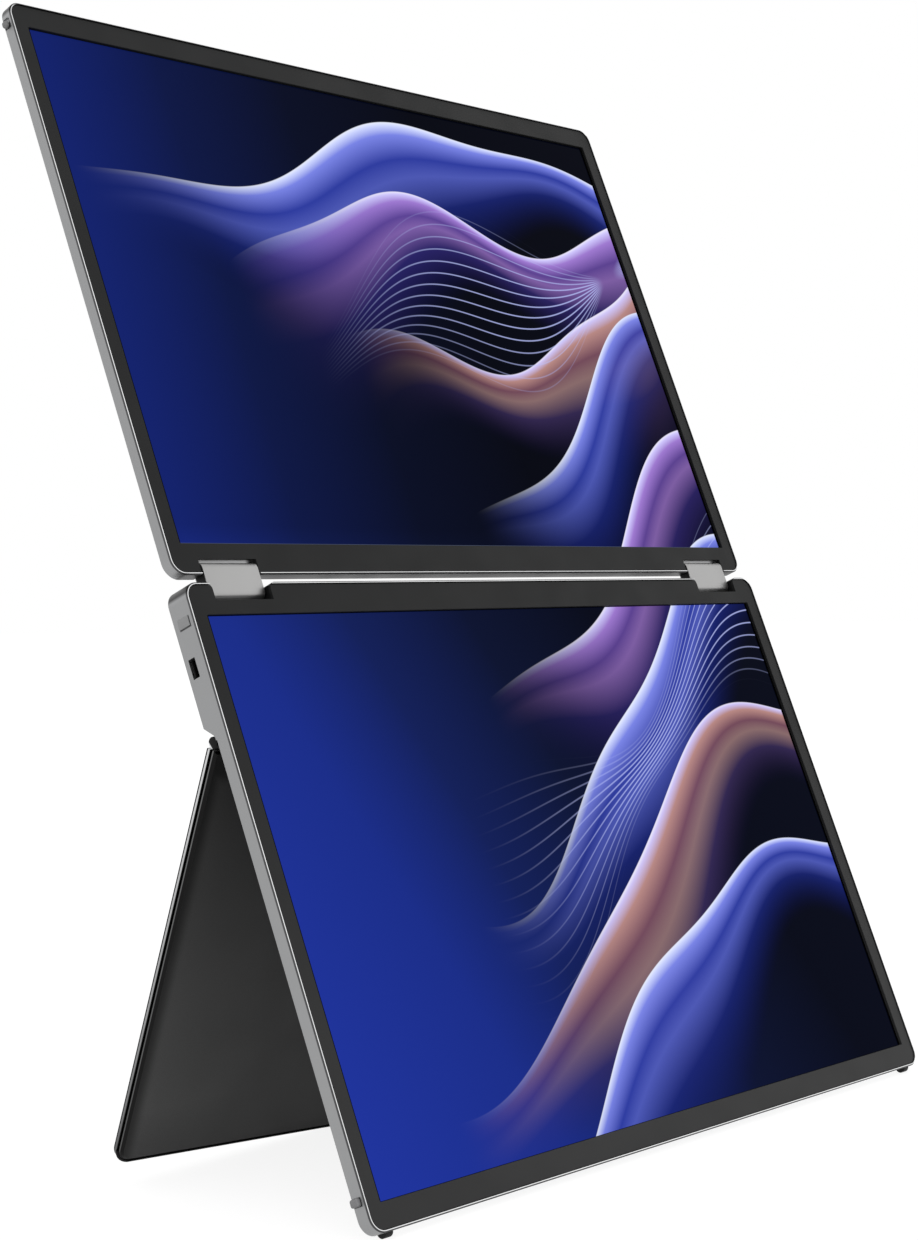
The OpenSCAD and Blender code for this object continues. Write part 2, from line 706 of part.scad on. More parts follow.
module lower_back_cover() {
    color("silver") place() difference() {
        union() {
            lower_shell();
            both_sides() {
                for (x = leaf_screws) post(link_x + x, -leaf_mid, block_floor, short_post_h);
                for (p = main_posts) post(p[0], p[1], block_floor, post_h);
                for (p = stand_screws)
                    post(p[0], p[1], block_floor, stand_leaf_low - block_floor);
            }
            for (p = port_posts) post(p[0], p[1], block_floor, short_post_h);
        }
        cut_notches(lower_notch, lower_mouth_r);
        both_sides() {
            for (x = leaf_screws) screw_hole(link_x + x, -leaf_mid, block_floor, short_post_h);
            for (p = main_posts) screw_hole(p[0], p[1], block_floor, post_h);
            for (p = stand_screws) screw_hole(p[0], p[1], block_floor, stand_leaf_low - block_floor);
            box(stand_bracket_x - stand_bracket_w / 2 - bracket_gap,
                stand_bracket_x + stand_bracket_w / 2 + bracket_gap,
                axis_stand_y, -block_end + 2,
                stand_leaf_low - 0.2, stand_leaf_low + leaf_t + 0.2);
            side_pocket(lower_bumper_y, lower_bumper_z, lower_bumper_l, lower_bumper_w);
            side_pocket(hinge_bumper_y, hinge_bumper_z, hinge_bumper_l, hinge_bumper_w);
            box(foot_x - foot_l / 2, foot_x + foot_l / 2, -far - 1, -far + pad_pocket,
                -foot_z - foot_root_w / 2, -foot_z + foot_root_w / 2);
        }
        for (p = port_posts) screw_hole(p[0], p[1], block_floor, short_post_h);
        for (y = usb_places) translate([half_w, y, usb_z]) rotate([90, 0, 90])
            linear_extrude(4 * side_wall, center = true)
                pill(usb_w + 2 * socket_gap, usb_h + 2 * socket_gap);
        for (y = button_places) translate([half_w, y, button_z]) rotate([90, 0, 90])
            linear_extrude(4 * side_wall, center = true)
                pill(button_l + 2 * button_gap, button_w + 2 * button_gap);
        translate([-half_w, -(edge + lock_y), -lock_z]) rotate([90, 0, 90])
            linear_extrude(4 * side_wall, center = true)
                square([lock_l + 2 * lock_lip, lock_w + 2 * lock_lip], center = true);
    }
}

module lower_bezel() {
    color("#3a3b3d") place() difference() {
        frame_ring(0);
        cut_notches(lower_notch, lower_mouth_r);
    }
}

module lower_display() {
    place() display(0);
}

module lower_backlight() {
    place() backlight(0);
}

module main_board() {
    top = main_low + board_t;
    color("darkgreen") place() difference() {
        union() {
            box(-main_half_l, main_half_l, -main_y - main_w, -main_y, main_low, top);
            box(-processor_w / 2, processor_w / 2, -main_mid - processor_w / 2,
                -main_mid + processor_w / 2, top, top + processor_t);
            for (x = chip_places) chip(x, main_mid, top);
            for (i = [1:3]) translate([processor_w / 2 + i * capacitor_pitch, -main_mid, top])
                cylinder(h = capacitor_h, r = capacitor_r);
        }
        both_sides() for (p = main_posts) translate([p[0], p[1], main_low - 1])
            cylinder(h = board_t + 2, r = screw_r);
    }
}

module port_board() {
    color("darkgreen") place() difference() {
        box(port_x - port_l, port_x, -port_far, -port_near, port_low, port_low + board_t);
        for (p = port_posts) translate([p[0], p[1], port_low - 1])
            cylinder(h = board_t + 2, r = screw_r);
    }
}

// Ribbon that hangs from the display module and lies on the main board.
module lower_ribbon() {
    high = -module_back;
    low = main_low + board_t;
    color("goldenrod") place() for (x = [-ribbon_x, ribbon_x])
        along_x(x - ribbon_w / 2, x + ribbon_w / 2) difference() {
            translate([-main_y - 4, low]) square([3.6, high - low]);
            translate([-main_y - 5, low + ribbon_t])
                square([4.6 - ribbon_t, high - low - 2 * ribbon_t]);
        }
}

module lower_bumpers() {
    color("darkgray") place() both_sides() {
        side_pad(lower_bumper_y, lower_bumper_z, lower_bumper_l, lower_bumper_w, bumper_h);
        side_pad(hinge_bumper_y, hinge_bumper_z, hinge_bumper_l, hinge_bumper_w, hinge_bumper_h);
    }
}

// Foot: a round rubber bead under the bottom edge, held by a root in its pocket.
module feet() {
    color("#262626") place() both_sides()
        along_x(foot_x - foot_l / 2, foot_x + foot_l / 2) {
            difference() {
                translate([foot_y, -foot_z]) circle(stand_r);
                translate([-far, -foot_z - 2 * stand_r]) square(4 * stand_r);
            }
            translate([-far - 0.2, -foot_z - foot_root_w / 2])
                square([pad_pocket + 0.2, foot_root_w]);
        }
}

module lower_hinge_brackets() {
    place() both_sides() translate([link_x, 0, 0])
        hinge_bracket(lower_notch, block_floor, -ledge);
}

module lower_hinge_shafts() {
    place() hinge_shafts();
}

module lower_screws() {
    leaf_seat = block_floor + short_post_h + leaf_t;
    color("silver") place() {
        both_sides() {
            for (x = leaf_screws)
                screw(link_x + x, -leaf_mid, leaf_seat, leaf_t + short_post_h + screw_bite);
            for (p = main_posts)
                screw(p[0], p[1], main_low + board_t, board_t + post_h + screw_bite);
            for (p = stand_screws)
                screw(p[0], p[1], stand_leaf_low + leaf_t,
                    leaf_t + stand_leaf_low - block_floor + screw_bite);
        }
        for (p = port_posts)
            screw(p[0], p[1], port_low + board_t, board_t + short_post_h + screw_bite);
    }
}

// Stand bracket: a leaf screwed inside the block, with an eye round the stand's pin.
module stand_brackets() {
    half = stand_bracket_w / 2;
    color("dimgray") place() both_sides() difference() {
        along_x(stand_bracket_x - half, stand_bracket_x + half) difference() {
            union() {
                translate([axis_stand_y, axis_stand_z]) circle(eye_r);
                translate([axis_stand_y, stand_leaf_low])
                    square([-axis_stand_y - stand_leaf_end, leaf_t]);
            }
            translate([axis_stand_y, axis_stand_z]) circle(stand_pin_r + running_gap);
        }
        for (p = stand_screws) translate([p[0], p[1], stand_leaf_low - 1])
            cylinder(h = leaf_t + 2, r = screw_r);
    }
}

module usb_c_sockets() {
    skin = 0.3;
    color("silver") place() for (y = usb_places)
        translate([half_w - side_wall / 4 - usb_d, y, usb_z]) rotate([90, 0, 90]) {
            difference() {
                linear_extrude(usb_d) pill(usb_w, usb_h);
                translate([0, 0, 1]) linear_extrude(usb_d) pill(usb_w - 2 * skin, usb_h - 2 * skin);
            }
            translate([0, 0, usb_d / 2 - 0.3]) cube([usb_w - 2.2, 0.7, usb_d - 1.4], center = true);
        }
}

module lock_insert() {
    color("gray") place() translate([-wall_x, -(edge + lock_y), -lock_z]) rotate([90, 0, 90])
        linear_extrude(lock_plate_t) difference() {
            square([2 * lock_l, lock_w + 3], center = true);
            square([lock_l, lock_w], center = true);
        }
}

// Side buttons: a cap in the wall, a flange behind it and a stem in the switch.
flange_t = 0.6;
flange_x = wall_x - 0.1 - flange_t;
stem_r = 0.5;
stem_l = 1;
switch_x = flange_x - button_travel - 0.15;
switch_in = module_w / 2 + 0.1;

module side_switches() {
    color("#303030") place() for (y = button_places) difference() {
        box(switch_in, switch_x, y - 3.5, y + 3.5, thin_floor, -ledge - seat_gap);
        translate([switch_x - stem_l, y, button_z]) rotate([0, 90, 0])
            cylinder(h = stem_l + 1, r = stem_r + 0.2);
    }
}

module side_button(y) {
    top = 0.25;
    color("gray") place() translate([0, y, button_z]) rotate([90, 0, 90]) {
        translate([0, 0, flange_x]) linear_extrude(flange_t)
            pill(button_l + 2 * button_gap + 1.2, button_w + 2 * button_gap + 0.2);
        translate([0, 0, flange_x]) linear_extrude(half_w + button_h - top - flange_x)
            pill(button_l, button_w);
        translate([0, 0, half_w + button_h - top]) linear_extrude(top)
            pill(button_l - 2 * top, button_w - 2 * top);
        translate([0, 0, flange_x - stem_l + 0.1]) cylinder(h = stem_l, r = stem_r);
    }
}

module power_button() {
    side_button(button_places[0]);
}

module menu_button() {
    side_button(button_places[1]);
}

// Stand, in its own frame: pivot axis on x, plates along -y, inner face towards +z

// Outline of the stand's plates moved in by inset, from y = -start to the free edge.
module stand_outline(inset, start) {
    r = stand_corner_r - inset;
    edge_y = -(stand_len - strip_h);
    knee_x = stand_knee - inset * tan(stand_slant / 2);
    right = [[arc_x + r, -start], [arc_x + r, arc_y], [arc_x, arc_y],
        [arc_x + r * sin(stand_slant), arc_y - r * cos(stand_slant)], [knee_x, edge_y + inset]];
    left = [for (i = [len(right) - 1:-1:0]) [-right[i][0], right[i][1]]];
    polygon(concat(right, left));
    for (x = [-arc_x, arc_x]) translate([x, arc_y]) circle(r);
}

// Bright tray of the stand: a floor with a low wall round its free sides
module stand_plate() {
    wall = groove - seat_gap;
    color("silver") place_stand() translate([0, 0, -stand_r]) {
        linear_extrude(stand_floor) stand_outline(0, plate_start);
        linear_extrude(stand_wall_h) difference() {
            stand_outline(0, plate_start);
            stand_outline(wall, plate_start - 1);
        }
    }
}

// Dark liner: a core inside the tray and a bevelled panel over it
module stand_liner() {
    low = stand_r - liner_t;
    thin = 0.01;
    color("#1d1e20") place_stand() {
        translate([0, 0, web_low]) linear_extrude(low - web_low)
            stand_outline(groove, web_l + seat_gap);
        hull() {
            translate([0, 0, low]) linear_extrude(liner_t - liner_bevel)
                stand_outline(liner_inset, plate_start);
            translate([0, 0, stand_r - thin]) linear_extrude(thin)
                stand_outline(liner_inset + liner_bevel, plate_start + liner_bevel);
        }
    }
}

// Round spine on the pivot axis, with a web between the tray and the liner
module stand_spine() {
    room = stand_bracket_w / 2 + bracket_gap;
    color("#202122") place_stand() difference() {
        union() {
            along_x(-spine_half_l, spine_half_l) circle(stand_r);
            along_x(groove - stand_half_w, stand_half_w - groove)
                translate([-web_l, web_low]) square([web_l, stand_r - liner_t - web_low]);
        }
        for (x = [-stand_bracket_x, stand_bracket_x]) {
            along_x(x - room, x + room) circle(eye_r + bracket_gap);
            along_x(x - room - pin_grip, x + room + pin_grip) circle(stand_pin_r);
        }
    }
}

module stand_end_caps() {
    color("silver") place_stand() both_sides() along_x(spine_half_l, stand_half_w)
        circle(stand_r);
}

module stand_pins() {
    half = stand_bracket_w / 2 + bracket_gap + pin_grip;
    color("silver") place_stand() for (x = [-stand_bracket_x, stand_bracket_x])
        along_x(x - half, x + half) circle(stand_pin_r);
}

// Rubber strip swept along the straight middle and the two rising parts of the free edge.
// Its profile is the part of a circle beyond the edge, mitred where the edge bends.
module stand_foot_strip() {
    half_angle = acos((stand_r - strip_h) / stand_r);
    profile = arc_points([strip_h - stand_r, 0], stand_r, -half_angle, half_angle);
    n = len(profile);
    rise = (arc_x - stand_knee) * tan(stand_slant);
    mitre = tan(stand_slant / 2);
    right = [[stand_knee, 0, mitre, -1], [arc_x, rise, sin(stand_slant), -cos(stand_slant)]];
    left = [for (i = [1, 0]) [-right[i][0], right[i][1], -right[i][2], right[i][3]]];
    points = [for (s = concat(left, right), p = profile)
        [s[0] + p[0] * s[2], s[1] + p[0] * s[3], p[1]]];
    sides = [for (k = [0:2], i = [0:n - 1])
        [k * n + i, k * n + (i + 1) % n, (k + 1) * n + (i + 1) % n, (k + 1) * n + i]];
    ends = [[for (i = [n - 1:-1:0]) i], [for (i = [0:n - 1]) 3 * n + i]];
    color("#262626") place_stand() translate([0, -(stand_len - strip_h), 0])
        polyhedron(points, concat(sides, ends));
}

upper_back_cover();
upper_bezel();
upper_display();
upper_backlight();
upper_driver_board();
upper_ribbon();
upper_bumpers();
upper_hinge_brackets();
upper_hinge_shafts();
upper_screws();
link_sleeve(-1);  // link_sleeve_left
link_sleeve(1);  // link_sleeve_right
link_core(-1);  // link_core_left
link_core(1);  // link_core_right
lower_back_cover();
lower_bezel();
lower_display();
lower_backlight();
main_board();
port_board();
lower_ribbon();
lower_bumpers();
feet();
lower_hinge_brackets();
lower_hinge_shafts();
lower_screws();
stand_brackets();
usb_c_sockets();
lock_insert();
side_switches();
power_button();
menu_button();
stand_plate();
stand_liner();
stand_spine();
stand_end_caps();
stand_pins();
stand_foot_strip();
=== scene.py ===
# %% [markdown]
# # A folding pair of screens
#
# Two thin 14 inch screens stand one above the other. Two flat metal links join them, and a wide
# plate stand holds them up from behind. The imported model already has every solid in its place, so
# this lesson is about looks: metal, glass, rubber, a picture on the screens, and soft light.
# The first cell loads the model.

# %% Load the frame
import json
import math

import bpy
import numpy as np
from mathutils import Euler, Matrix, Vector


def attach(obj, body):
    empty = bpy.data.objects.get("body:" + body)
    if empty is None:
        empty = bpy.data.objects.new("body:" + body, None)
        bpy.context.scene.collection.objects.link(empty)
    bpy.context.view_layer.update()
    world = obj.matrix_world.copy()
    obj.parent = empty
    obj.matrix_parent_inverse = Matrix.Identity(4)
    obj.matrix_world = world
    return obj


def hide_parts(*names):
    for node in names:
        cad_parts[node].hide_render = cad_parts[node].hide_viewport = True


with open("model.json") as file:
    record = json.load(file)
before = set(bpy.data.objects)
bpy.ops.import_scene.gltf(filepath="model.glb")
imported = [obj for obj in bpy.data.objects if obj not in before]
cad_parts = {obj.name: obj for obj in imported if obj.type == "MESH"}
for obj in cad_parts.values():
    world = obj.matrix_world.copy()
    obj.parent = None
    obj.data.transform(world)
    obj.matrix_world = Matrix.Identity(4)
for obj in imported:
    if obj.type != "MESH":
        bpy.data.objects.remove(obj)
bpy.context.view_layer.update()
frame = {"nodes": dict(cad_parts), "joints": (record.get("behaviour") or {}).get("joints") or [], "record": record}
record = frame["record"]
nodes = frame["nodes"]
MM = 0.001

# %% [markdown]
# ## The frame of the screens
#
# The screens lean back, so a pattern that should run along them needs coordinates that lean too.
# The lean could be typed in, but a measured one stays right when the model changes. The record's
# flat mount on the upper back gives it, because its axis is the direction straight out of the back.
# The two fold axes lie on either side of the hinge gap, so the middle between them is the middle of
# the gap, and the front rim of the lower cover gives the front.

# %% Measure the screens' frame
def corners(node):
    """The points of a CAD node, as rows of x, y and z in metres."""
    return np.array([v.co for v in nodes[node].data.vertices], float).reshape(-1, 3)


back_axis = next(Vector(m["axis"]) for m in record["mounts"] if m["name"] == "upper_back")
lean = math.atan2(-back_axis.z, back_axis.y)
panel_turn = Euler((math.pi / 2 - lean, 0, 0)).to_matrix()
panel_out = panel_turn @ Vector((0, 0, 1))
fold_axes = [Vector(j["pos_m"]) for j in frame["joints"] if j["name"].endswith("_fold")]
gap_middle = sum(fold_axes, Vector()) / len(fold_axes)
front = (corners("lower_back_cover") @ np.array(panel_out)).max()
panel_origin = gap_middle + panel_out * (front - gap_middle.dot(panel_out))
PANEL = Matrix.Translation(panel_origin) @ panel_turn.to_4x4() @ Matrix.Scale(MM, 4)
print("lean", round(math.degrees(lean), 3), "degrees, origin", [round(v, 5) for v in panel_origin])

# %% [markdown]
# ## Boxes along the screens
#
# Finishes and pieces start from where a solid lies on the screens. In the screens' frame and in
# millimetres, its place is given by plain numbers: x to the right, y up the screens from the middle
# of the hinge gap, and z out of the front.

# %% Points and boxes in that frame
def panel_points(node):
    """The points of a CAD node in the screens' frame, in millimetres."""
    return (corners(node) - np.array(panel_origin)) @ np.array(panel_turn) / MM


def panel_box(node):
    """Lowest and highest corner of a CAD node in the screens' frame, in millimetres."""
    local = panel_points(node)
    return Vector(local.min(0)), Vector(local.max(0))


upper_glass = panel_box("upper_display")
print("upper rim", round(panel_box("upper_back_cover")[1].z, 3))
print("upper glass", [tuple(round(v, 2) for v in c) for c in upper_glass])

# %% [markdown]
# ## The frame of the stand
#
# The stand leans the other way, so it gets a frame of its own. Its joint says where the pivot is
# and how far it closes, and closed it lies along the back of the screens. That gives its tilt.

# %% Measure the stand's frame
stand_joint = next(j for j in record["behaviour"]["joints"] if j["name"] == "stand_hinge")
stand_origin = Vector(stand_joint["pos_m"])
stand_tilt = math.pi / 2 - lean - math.radians(stand_joint["range_deg"][0])
STAND = Matrix.Translation(stand_origin) @ Matrix.Rotation(stand_tilt, 4, "X") @ Matrix.Scale(MM, 4)
print("stand tilt", round(math.degrees(stand_tilt), 2), "degrees")

# %% [markdown]
# ## Camera
#
# The camera stands low and to the left, almost level with the hinge, so both screens are seen at a
# slant. A long lens keeps the slant strong without bending the outline. The turn of the camera is
# built from three angles: the way it looks, a slight dip and a slight roll. A small upward shift of
# the lens, like cropping the bottom of a taller picture, keeps the upright lines as they should be.

# %% Place the camera
CAMERA_PLACE = Vector((-0.65736, -0.55393, 0.19121))
CAMERA_LOOK = 48.9272
CAMERA_DIP = -1.5176
CAMERA_ROLL = -0.9998
CAMERA_LENS = 67.681
CAMERA_SHIFT = 1 / 31
look, dip, roll = (math.radians(a) for a in (CAMERA_LOOK, CAMERA_DIP, CAMERA_ROLL))
forward = Vector((math.sin(look) * math.cos(dip), math.cos(look) * math.cos(dip), math.sin(dip)))
level_right = Vector((math.cos(look), -math.sin(look), 0))
level_up = level_right.cross(forward)
right = math.cos(roll) * level_right + math.sin(roll) * level_up
upward = -math.sin(roll) * level_right + math.cos(roll) * level_up

camera_data = bpy.data.cameras.new("camera")
camera_data.lens = CAMERA_LENS
camera_data.shift_y = CAMERA_SHIFT
camera = bpy.data.objects.new("camera", camera_data)
camera.matrix_world = Matrix((right, upward, -forward)).transposed().to_4x4()
camera.location = CAMERA_PLACE
bpy.context.scene.collection.objects.link(camera)
bpy.context.scene.camera = camera
print("camera", round((gap_middle - CAMERA_PLACE).length, 3), "m from the hinge")

# %% [markdown]
# ## Building node trees
#
# Every finish is a small tree of shader nodes. They could be wired by hand, but a few helpers keep
# a long tree readable: one adds a node and fills its inputs, and two more write a step of
# arithmetic and a mix of two colours.

# %% Nodes, arithmetic and colours
def add(tree, kind, settings=None, inputs=None):
    """Adds a node. An input is linked when it is given a socket and set when it is a value."""
    made = tree.nodes.new(kind)
    for name, value in (settings or {}).items():
        setattr(made, name, value)
    for key, value in (inputs or {}).items():
        if isinstance(value, bpy.types.NodeSocket):
            tree.links.new(value, made.inputs[key])
        else:
            made.inputs[key].default_value = value
    return made


def maths(tree, operation, *values, clamp=False):
    """One step of arithmetic on numbers or sockets."""
    settings = {"operation": operation, "use_clamp": clamp}
    return add(tree, "ShaderNodeMath", settings, dict(enumerate(values))).outputs[0]


def product(tree, first, *others):
    """Multiplies masks, so that the result is 1 only where all of them are 1."""
    for other in others:
        first = maths(tree, "MULTIPLY", first, other)
    return first


def blend(tree, share, first, second):
    """Mixes two colours by a share from 0 to 1."""
    made = add(tree, "ShaderNodeMix", {"data_type": "RGBA"})
    for socket, value in (("Factor_Float", share), ("A_Color", first), ("B_Color", second)):
        target = next(s for s in made.inputs if s.identifier == socket)
        if isinstance(value, bpy.types.NodeSocket):
            tree.links.new(value, target)
        else:
            target.default_value = value
    return next(s for s in made.outputs if s.identifier == "Result_Color")


def grey(level):
    """A neutral colour."""
    return (level, level, level, 1.0)


print("node helpers ready")

# %% [markdown]
# ## Masks
#
# A face, a line or a corner gets its own tone through a mask, which is 1 there and 0 elsewhere.
# A soft threshold on a coordinate makes one, two thresholds make a band, and two bands a patch.
# This needs no unwrapping and no painted picture, and it stays sharp from close by.

# %% Thresholds, bands and patches
def spread(tree, value, low, high, to_low=0.0, to_high=1.0, smooth=False):
    """Maps low..high to to_low..to_high and holds the ends."""
    settings = {"interpolation_type": "SMOOTHSTEP" if smooth else "LINEAR"}
    inputs = {"Value": value, "From Min": low, "From Max": high, "To Min": to_low, "To Max": to_high}
    return add(tree, "ShaderNodeMapRange", settings, inputs).outputs[0]


def band(tree, value, low, high, soft=0.03):
    """1 between low and high, and 0 outside them."""
    rise = spread(tree, value, low - soft, low + soft)
    fall = spread(tree, value, high - soft, high + soft, 1.0, 0.0)
    return product(tree, rise, fall)


def patch(tree, first, second, box, soft=0.08):
    """1 where first and second lie inside box, which is (low, high) of first and of second."""
    (low_1, high_1), (low_2, high_2) = box
    return product(tree, band(tree, first, low_1, high_1, soft), band(tree, second, low_2, high_2, soft))


print("masks ready")

# %% [markdown]
# ## Coordinates for patterns
#
# A pattern has to stay on its piece when the piece folds, so it reads Object coordinates. They come
# in metres and upright. A Mapping node of the texture kind undoes a move, a turn and a scale, and
# gives millimetres in the frame of the screens or of the stand, so patterns lie straight on parts
# that lean.

# %% Coordinates and noise
def coordinates(tree, origin, turn):
    """Coordinates in millimetres in a frame that sits at origin and is turned about X."""
    place = add(tree, "ShaderNodeTexCoord").outputs["Object"]
    inputs = {"Vector": place, "Location": origin, "Rotation": (turn, 0, 0), "Scale": (MM, MM, MM)}
    return add(tree, "ShaderNodeMapping", {"vector_type": "TEXTURE"}, inputs).outputs[0]


def panel_coordinates(tree):
    """Coordinates in the screens' frame: x to the right, y up the screens and z out of them."""
    return coordinates(tree, panel_origin, math.pi / 2 - lean)


def stand_coordinates(tree):
    """Coordinates in the stand's frame: y up to its pivot and z through its thickness."""
    return coordinates(tree, stand_origin, stand_tilt)


def axes(tree, place):
    """The three parts of a place."""
    return add(tree, "ShaderNodeSeparateXYZ", None, {0: place}).outputs


def noise(tree, place, size, detail=2.0):
    """Soft random blotches of about the given size in millimetres."""
    inputs = {"Vector": place, "Scale": 1 / size, "Detail": detail}
    return add(tree, "ShaderNodeTexNoise", None, inputs).outputs[0]


print("coordinates ready")

# %% [markdown]
# ## One recipe for a solid finish
#
# Real finishes are never one flat number. Blasted metal and moulded plastic have a grain of about
# a tenth of a millimetre, and handling leaves wide, faint changes in how sharply they shine. So
# each finish gets a fine bump, a small change of colour and a small change of roughness.

# %% Finish recipe
WIDE_SIZE = 18.0
FINE_SHARE = 0.6
ROUGHER = 1.08
SMOOTHER = 0.92
BUMP_STRENGTH = 0.5
NOISE_RANGE = (0.3, 0.7)


def shader_of(material):
    """The shader node of a material."""
    return material.node_tree.nodes["Principled BSDF"]


def base_of(material):
    """The input that colours a material, and the socket that feeds it now."""
    target = shader_of(material).inputs["Base Color"]
    return target, target.links[0].from_socket


def finish(name, colour, roughness, metallic=0.0, specular=0.5, grain=0.12, depth=0.004, vary=0.05):
    """A material with a fine grain. grain and depth are in millimetres."""
    material = bpy.data.materials.new(name)
    material.use_nodes = True
    tree = material.node_tree
    shader = shader_of(material)
    shader.inputs["Metallic"].default_value = metallic
    shader.inputs["Specular IOR Level"].default_value = specular
    place = panel_coordinates(tree)
    fine = noise(tree, place, grain, 3.0)
    wide = noise(tree, place, WIDE_SIZE, 1.0)
    darker = tuple(c * (1 - vary) for c in colour[:3]) + (1,)
    lighter = tuple(min(1, c * (1 + vary)) for c in colour[:3]) + (1,)
    wide_part = maths(tree, "MULTIPLY", wide, 1 - FINE_SHARE)
    share = maths(tree, "MULTIPLY_ADD", fine, FINE_SHARE, wide_part)
    tree.links.new(blend(tree, share, darker, lighter), shader.inputs["Base Color"])
    uneven = spread(tree, wide, *NOISE_RANGE, roughness * SMOOTHER, roughness * ROUGHER)
    tree.links.new(uneven, shader.inputs["Roughness"])
    bump_inputs = {"Strength": BUMP_STRENGTH, "Distance": depth * MM, "Height": fine}
    bump = add(tree, "ShaderNodeBump", None, bump_inputs)
    tree.links.new(bump.outputs[0], shader.inputs["Normal"])
    return material


print("recipe ready")

# %% [markdown]
# ## The cut rim of the covers
#
# The covers are blasted and anodised to an even satin grey. A diamond tool then cuts the outer part
# of the flat rim round the front, and that cut stays bright. A thin ring of geometry could carry
# it, but the rim is one flat face, so a mask is enough. It measures how far a point lies in from
# the outline of the half, which is a rectangle with round corners.

# %% Rim line
BEVEL = 0.5
RIM_LINE = 0.45
RIM_CORNER = 5.5
PAST = 1.0


def rim_line(tree, x, y, bounds):
    """1 on the outer part of the flat rim, measured in from the rounded outline of a half."""
    low, high = bounds
    half = (high - low) / 2
    from_x = maths(tree, "SUBTRACT", maths(tree, "ABSOLUTE", x), half.x - RIM_CORNER)
    centred = maths(tree, "ABSOLUTE", maths(tree, "SUBTRACT", y, (low.y + high.y) / 2))
    from_y = maths(tree, "SUBTRACT", centred, half.y - RIM_CORNER)
    outside = [maths(tree, "POWER", maths(tree, "MAXIMUM", v, 0.0), 2.0) for v in (from_x, from_y)]
    round_part = maths(tree, "SQRT", maths(tree, "ADD", *outside))
    flat_part = maths(tree, "MINIMUM", maths(tree, "MAXIMUM", from_x, from_y), 0.0)
    inward = maths(tree, "SUBTRACT", RIM_CORNER, maths(tree, "ADD", round_part, flat_part))
    return band(tree, inward, -PAST, BEVEL + RIM_LINE)


print("rim line", BEVEL + RIM_LINE, "mm wide with its bevel")

# %% [markdown]
# ## Cover metal
#
# Between the bright rim and the side of a cover lies a narrow slanting face, which gets painted
# shade. It follows the depth behind the front rim, so that coordinate tells it apart on one solid.
# Round each bumper the narrow gap gets a painted shadow, drawn as a patch that peeps out from under
# it. The wall in the hinge gap is darker and the two corners at the top of each half are darkest,
# both by painted shade. The right rim is duller than the left one, and the top rim of the upper
# half has no bright cut; both are painted shade on the cut.

# %% Cover metal
SATIN = (0.315, 0.318, 0.322, 1)
CUT = (0.74, 0.745, 0.75, 1)
# Painted shade: on the slant face and in the gaps round the bumpers, on the hinge wall, and on the upper corners.
SHADED = (0.07, 0.07, 0.072, 1)
HINGE_WALL_SHADE = (0.12, 0.12, 0.122, 1)
CORNER_SHADE = (0.012, 0.012, 0.012, 1)
CUT_DEPTH = 0.06
CUT_SMOOTHER = -0.16
SIDE_X = (158.5, 158.7)
CORNER_SHADE_X = (155.5, 156.5)
CORNER_SHADE_SHARE = 0.9
CORNER_SHADE_SOFT = 0.1
HINGE_WALL_SHADE_Y = (1.0, 2.0)
# Painted shade that dulls the cut on the right rim.
RIGHT_RIM_SHADE_X = (157.0, 157.4)
RIGHT_RIM_SHADE_SHARE = 0.25


def cover_metal(name, node, gap_shadows, corner_y, cut_shaded_above):
    """Satin metal with a bright rim and painted shade on the slant beside it.

    The gap patches of y and z get a painted shadow. The corner range gives where, up the screens,
    the painted shade of the upper corners begins and where it is full. Above the height given last,
    the cut is left out, as painted shade on the top rim.
    """
    bounds = panel_box(node)
    back, rim = bounds[0].z, bounds[1].z
    material = finish(name, SATIN, 0.42, metallic=1.0, grain=0.14, depth=0.006)
    tree = material.node_tree
    roughness = shader_of(material).inputs["Roughness"]
    target, colour = base_of(material)
    x, y, z = axes(tree, panel_coordinates(tree))
    from_middle = maths(tree, "ABSOLUTE", x)
    side = spread(tree, from_middle, *SIDE_X)
    # Painted shade on the slant face behind the rim, and painted shadow in the gaps round the bumpers.
    dark = band(tree, z, rim - BEVEL, rim + PAST)
    for box in gap_shadows:
        dark = maths(tree, "MAXIMUM", dark, product(tree, side, patch(tree, y, z, box)))
    # Painted shade on the wall in the hinge gap.
    wall = band(tree, maths(tree, "ABSOLUTE", y), *HINGE_WALL_SHADE_Y)
    colour = blend(tree, wall, colour, HINGE_WALL_SHADE)
    colour = blend(tree, dark, colour, SHADED)
    # Painted shade on the two upper corners of each half.
    corner = product(
        tree,
        spread(tree, y, *corner_y, 0.0, CORNER_SHADE_SHARE),
        spread(tree, from_middle, *CORNER_SHADE_X),
        spread(tree, z, back + BEVEL, back + BEVEL + CORNER_SHADE_SOFT),
    )
    colour = blend(tree, corner, colour, CORNER_SHADE)
    # The cut keeps its own bright finish, dulled by painted shade on the right rim and along the top of the upper
    # half.
    cut = product(
        tree,
        band(tree, z, rim - CUT_DEPTH, rim + PAST),
        rim_line(tree, x, y, bounds),
        spread(tree, x, *RIGHT_RIM_SHADE_X, 1.0, RIGHT_RIM_SHADE_SHARE),
        spread(tree, y, cut_shaded_above - 1, cut_shaded_above, 1.0, 0.0),
    )
    tree.links.new(blend(tree, cut, colour, CUT), target)
    uneven = roughness.links[0].from_socket
    tree.links.new(maths(tree, "MULTIPLY_ADD", cut, CUT_SMOOTHER, uneven), roughness)
    return material


print("cover recipe ready")
